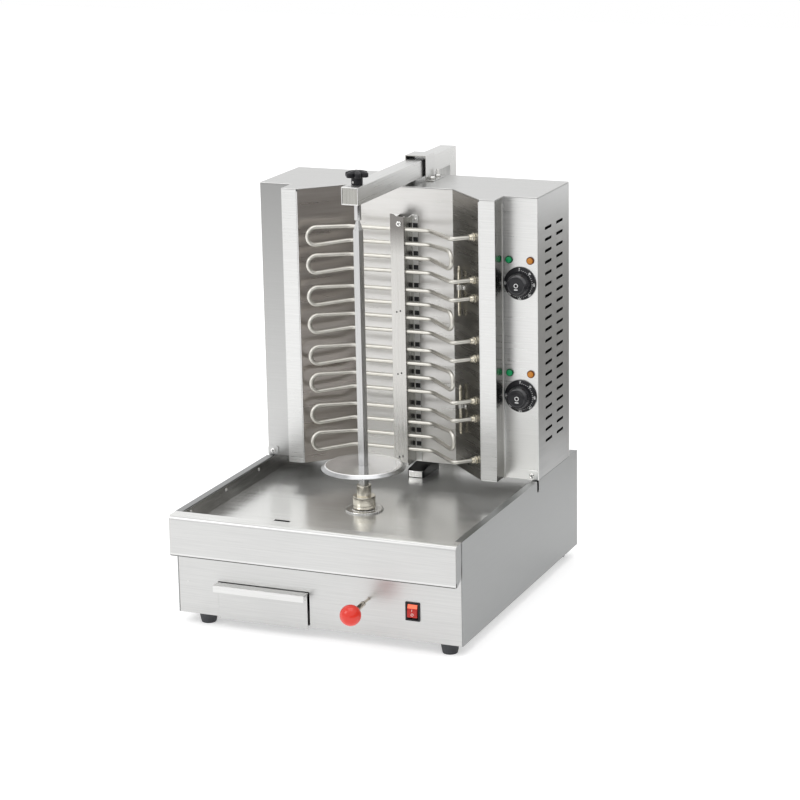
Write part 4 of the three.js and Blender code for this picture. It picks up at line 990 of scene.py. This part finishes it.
piece("star_knob_set_screw", (place(v, (dirn[0] * 10.9, SPY + dirn[1] * 10.9, 804.6), dirn), f), "bright", "top_pivot", "bright_steel", 40)

# ================================================== duct, guide fasteners
a, b = N("wiring_duct")
dv = [(457, 181.3), (540, 189.9)]
side = [(455.7, 167.2), (455.6, 175.6), (456.2, 179.2), (458.2, 180.9)]
duct = raw("wiring_duct.v", *g_prism([(540, 166.4), (540, 189.9)] + side[::-1] + [(457.0, 166.4)], -6, 29, "X"))
plan = [(-6, 560)] + [(-6 + 6 - 6 * math.cos(math.radians(t)), 461.7 - 6 * math.sin(math.radians(t))) for t in range(0, 91, 15)]
plan += [(29 - 7 + 7 * math.sin(math.radians(t)), 462.7 - 7 * math.cos(math.radians(t))) for t in range(0, 91, 15)] + [(29, 560)]
boolean(duct, raw("c", *g_prism(plan[::-1], 150, 210, "Z")), "INTERSECT")
bevel_mesh(duct.data, 2.6, 5, 50)
# painted reflection: the steel duct's top and sides are drawn black for the dark underside of the tower they reflect,
# its front in bright steel for the light it reflects
me = duct.data
idx = [0 if p.normal.y < -0.75 and abs(p.normal.x) < 0.5 and p.normal.z < 0.6 else 1 for p in me.polygons]
dress(duct, "bright", "base_unit", "bright_steel", 40, ("wiring_duct",), ["screw", "duct_dark_reflection"], idx)
weighted(duct)


def hexhead(name, at, r, h, mat="screw"):
    q = [(0, 0), (r * 0.96, 0), (r, 0.4), (r, h * 0.78), (r * 0.86, h), (0, h)]
    v, f = g_lathe(q, 6)
    wv, wf = closed_lathe([(2.6, -0.9), (r * 1.25, -0.9), (r * 1.3, -0.6), (r * 1.3, -0.2), (r * 1.2, 0), (2.6, 0)], 28)
    piece(name + "_washer", (place(wv, at, (0, 0, 1)), wf), "leg", "base_unit", "bright_steel", 35)
    return piece(name, (place(v, at, (0, 0, 1), spin=0.35), f), mat, "base_unit", "bright_steel", 35)


hexhead("guide_bolt", (29, 528, 760.6), 5.6, 4.2)
hexhead("guide_nut", (29, 556, 760.6), 5.2, 4.4)
th = [(0, 759.6)]
h = 759.6
while h < 774:
    th += [(2.45, h), (2.85, h + 0.4)]
    h += 0.8
th += [(2.3, 775), (0, 775)]
v, f = g_lathe(th, 20)
piece("guide_stud", (place(v, (29, 556, 0)), f), "bright", "base_unit", "bright_steel", 40)
hexhead("guide_bolt_left", (-29, 528, 760.6), 5.6, 4.2)
hexhead("guide_nut_left", (-29, 556, 760.6), 5.2, 4.4)

# ============================================================ small parts
screw("pad_screw_right", (276.2, 407.9, 208.9), (0, -1, 0), 5.0, 2.3, "screw", "base_unit", "bright_steel", 0.2)
screw("pad_screw_left", (-278.9, 407.9, 208.9), (0, -1, 0), 5.0, 2.3, "screw", "base_unit", "bright_steel", 0.2)
for k, yy in enumerate((35, 184, 332)):
    rivet(f"tray_rivet_left_{k}", (-275, yy, 190), (1, 0, 0), 3.4, 1.6, "bright", "base_unit", "bright_steel")
    rivet(f"tray_rivet_right_{k}", (275, yy, 190), (-1, 0, 0), 3.4, 1.6, "bright", "base_unit", "bright_steel")
rivet("panel_rivet", (-269, 0, 63), (0, -1, 0), 2.2, 0.7, "panel_x", "base_unit", "panel_steel")
for s in (-1, 1):
    for k, zz in enumerate((230, 480, 735)):
        screw(f"back_screw_{'l' if s < 0 else 'r'}_{k}", (s * 276, 592, zz), (0, 1, 0), 3.9, 2.0, "bright", "base_unit", "bright_steel", 0.7)
    for k, zz in enumerate((30, 170)):
        screw(f"base_back_screw_{'l' if s < 0 else 'r'}_{k}", (s * 276, 640, zz), (0, 1, 0), 3.9, 2.0, "bright", "base_unit", "bright_steel", 0.7)

for sgn, tag in ((1, "right"), (-1, "left")):
    xo = 289.2
    xa, xb = (xo - 0.3, xo + 0.25) if sgn > 0 else (-xo - 0.25, -xo + 0.3)
    piece(f"apron_seam_{tag}", g_box(xa, xb, -28.8, -27.9, 123, 194), "leg", "base_unit", "black_plastic", 0)
    # painted shade: a dark patch where the slit at the apron's lower corner is
    piece(f"apron_slit_shade_{tag}", g_box(xa, xb, -28.4, -25.6, 121.6, 129.5), "dark", "base_unit", "black_plastic", 0)
# rolled hem along the apron's lower edge: a painted highlight strip for the fold, with a strip of painted shade below
# it
piece("apron_hem_highlight", g_box(-288.4, 288.4, -30.08, -29.6, 123.0, 126.4), "panel_x", "base_unit", "panel_steel", 0)
piece("apron_hem_shade", g_box(-288.4, 288.4, -30.10, -29.6, 121.1, 123.0), "hem", "base_unit", "panel_steel", 0)
# ================================================================== stage
def stage_obj(name, verts, faces, mat, smooth=False):
    me = bpy.data.meshes.new(name)
    me.from_pydata(verts, [], faces)
    me.update()
    me.materials.append(mat)
    o = bpy.data.objects.new(name, me)
    bpy.context.collection.objects.link(o)
    if smooth:
        me.polygons.foreach_set("use_smooth", [True] * len(me.polygons))
    return o


fm, nt, b = new_mat("stage_floor")
b.inputs["Base Color"].default_value = (0.82, 0.82, 0.82, 1)
b.inputs["Roughness"].default_value = 0.75
b.inputs["Specular IOR Level"].default_value = 0.2
b.inputs["Emission Color"].default_value = (1, 1, 1, 1)
b.inputs["Emission Strength"].default_value = 0.38
zf = BOX0[0][2]
stage_obj("floor", [(-9, -9, zf), (9, -9, zf), (9, 9, zf), (-9, 9, zf)], [(0, 1, 2, 3)], fm)


def board(name, pts, grey):
    """studio flag: seen only in reflections"""
    m, nt, b = new_mat("stage_" + name)
    b.inputs["Base Color"].default_value = (grey, grey * 0.98, grey * 0.94, 1)
    b.inputs["Roughness"].default_value = 0.9
    b.inputs["Specular IOR Level"].default_value = 0.0
    o = stage_obj(name, pts, [(0, 1, 2, 3)], m)
    o.visible_camera = False
    o.visible_shadow = False
    o.visible_diffuse = False
    return o


CA, SA = math.cos(math.radians(22.916)), math.sin(math.radians(22.916))


def sl(s, l, z):
    """s metres towards the viewing side, l metres to its right, z above the floor"""
    return (SA * s + CA * l, -CA * s + SA * l, zf + z)


board("flag_front", [sl(1.12, -0.14, 0.004), sl(1.12, 1.02, 0.004), sl(2.5, 1.02, 0.56), sl(2.5, -0.14, 0.56)], 0.03)
board("flag_right", [sl(2.5, 1.03, 0.0), sl(-0.25, 1.03, 0.0), sl(-0.25, 1.03, 0.72), sl(2.5, 1.03, 0.72)], 0.13)
board("flag_back", [sl(-0.25, 1.03, 0.0), sl(-4.5, 1.03, 0.0), sl(-4.5, 1.03, 0.55), sl(-0.25, 1.03, 0.55)], 0.40)

world = bpy.data.worlds.new("w")
bpy.context.scene.world = world
world.use_nodes = True
world.node_tree.nodes["Background"].inputs["Color"].default_value = (1.0, 1.0, 1.0, 1)
world.node_tree.nodes["Background"].inputs["Strength"].default_value = 1.0


def area(name, loc, target, size, energy, color=(1, 1, 1), shape="RECTANGLE", size_y=None):
    l = bpy.data.lights.new(name, "AREA")
    l.shape = shape
    l.size = size
    if size_y:
        l.size_y = size_y
    l.energy = energy
    l.color = color
    o = bpy.data.objects.new(name, l)
    bpy.context.collection.objects.link(o)
    o.location = loc
    d = (Vector(target) - Vector(loc)).normalized()
    o.rotation_euler = d.to_track_quat("-Z", "Y").to_euler()
    return o


area("key", (-1.9, -2.4, 2.4), (0, 0, 0.4), 1.6, 22, size_y=1.6)
area("top", (0.3, -0.6, 3.2), (0, 0, 0.3), 2.4, 24, size_y=2.4)

# ================================================================= camera
cam = bpy.data.cameras.new("cam")
cam.sensor_width = 36
cam.lens = 2610.808290634684 / 800 * 36
co = bpy.data.objects.new("cam", cam)
bpy.context.collection.objects.link(co)
yaw, pitch, roll = (math.radians(v) for v in (22.916119397688192, 14.90350963800115, -1.083011410630304))
right = Vector((math.cos(yaw), math.sin(yaw), 0))
back = Vector((math.sin(yaw) * math.cos(pitch), -math.cos(yaw) * math.cos(pitch), math.sin(pitch)))
up = right.cross(-back)
Rv = right * math.cos(roll) + up * math.sin(roll)
Uv = -right * math.sin(roll) + up * math.cos(roll)
pos = W(1669.50636535 * 1.16, -3594.05531737 * 1.16, 1431.48166309 * 1.16)
co.matrix_world = Matrix(((Rv.x, Uv.x, back.x, pos.x), (Rv.y, Uv.y, back.y, pos.y), (Rv.z, Uv.z, back.z, pos.z), (0, 0, 0, 1)))
cam.dof.use_dof = False
cam.clip_end = 60
bpy.context.scene.camera = co
bpy.context.scene.view_settings.view_transform = "Standard"
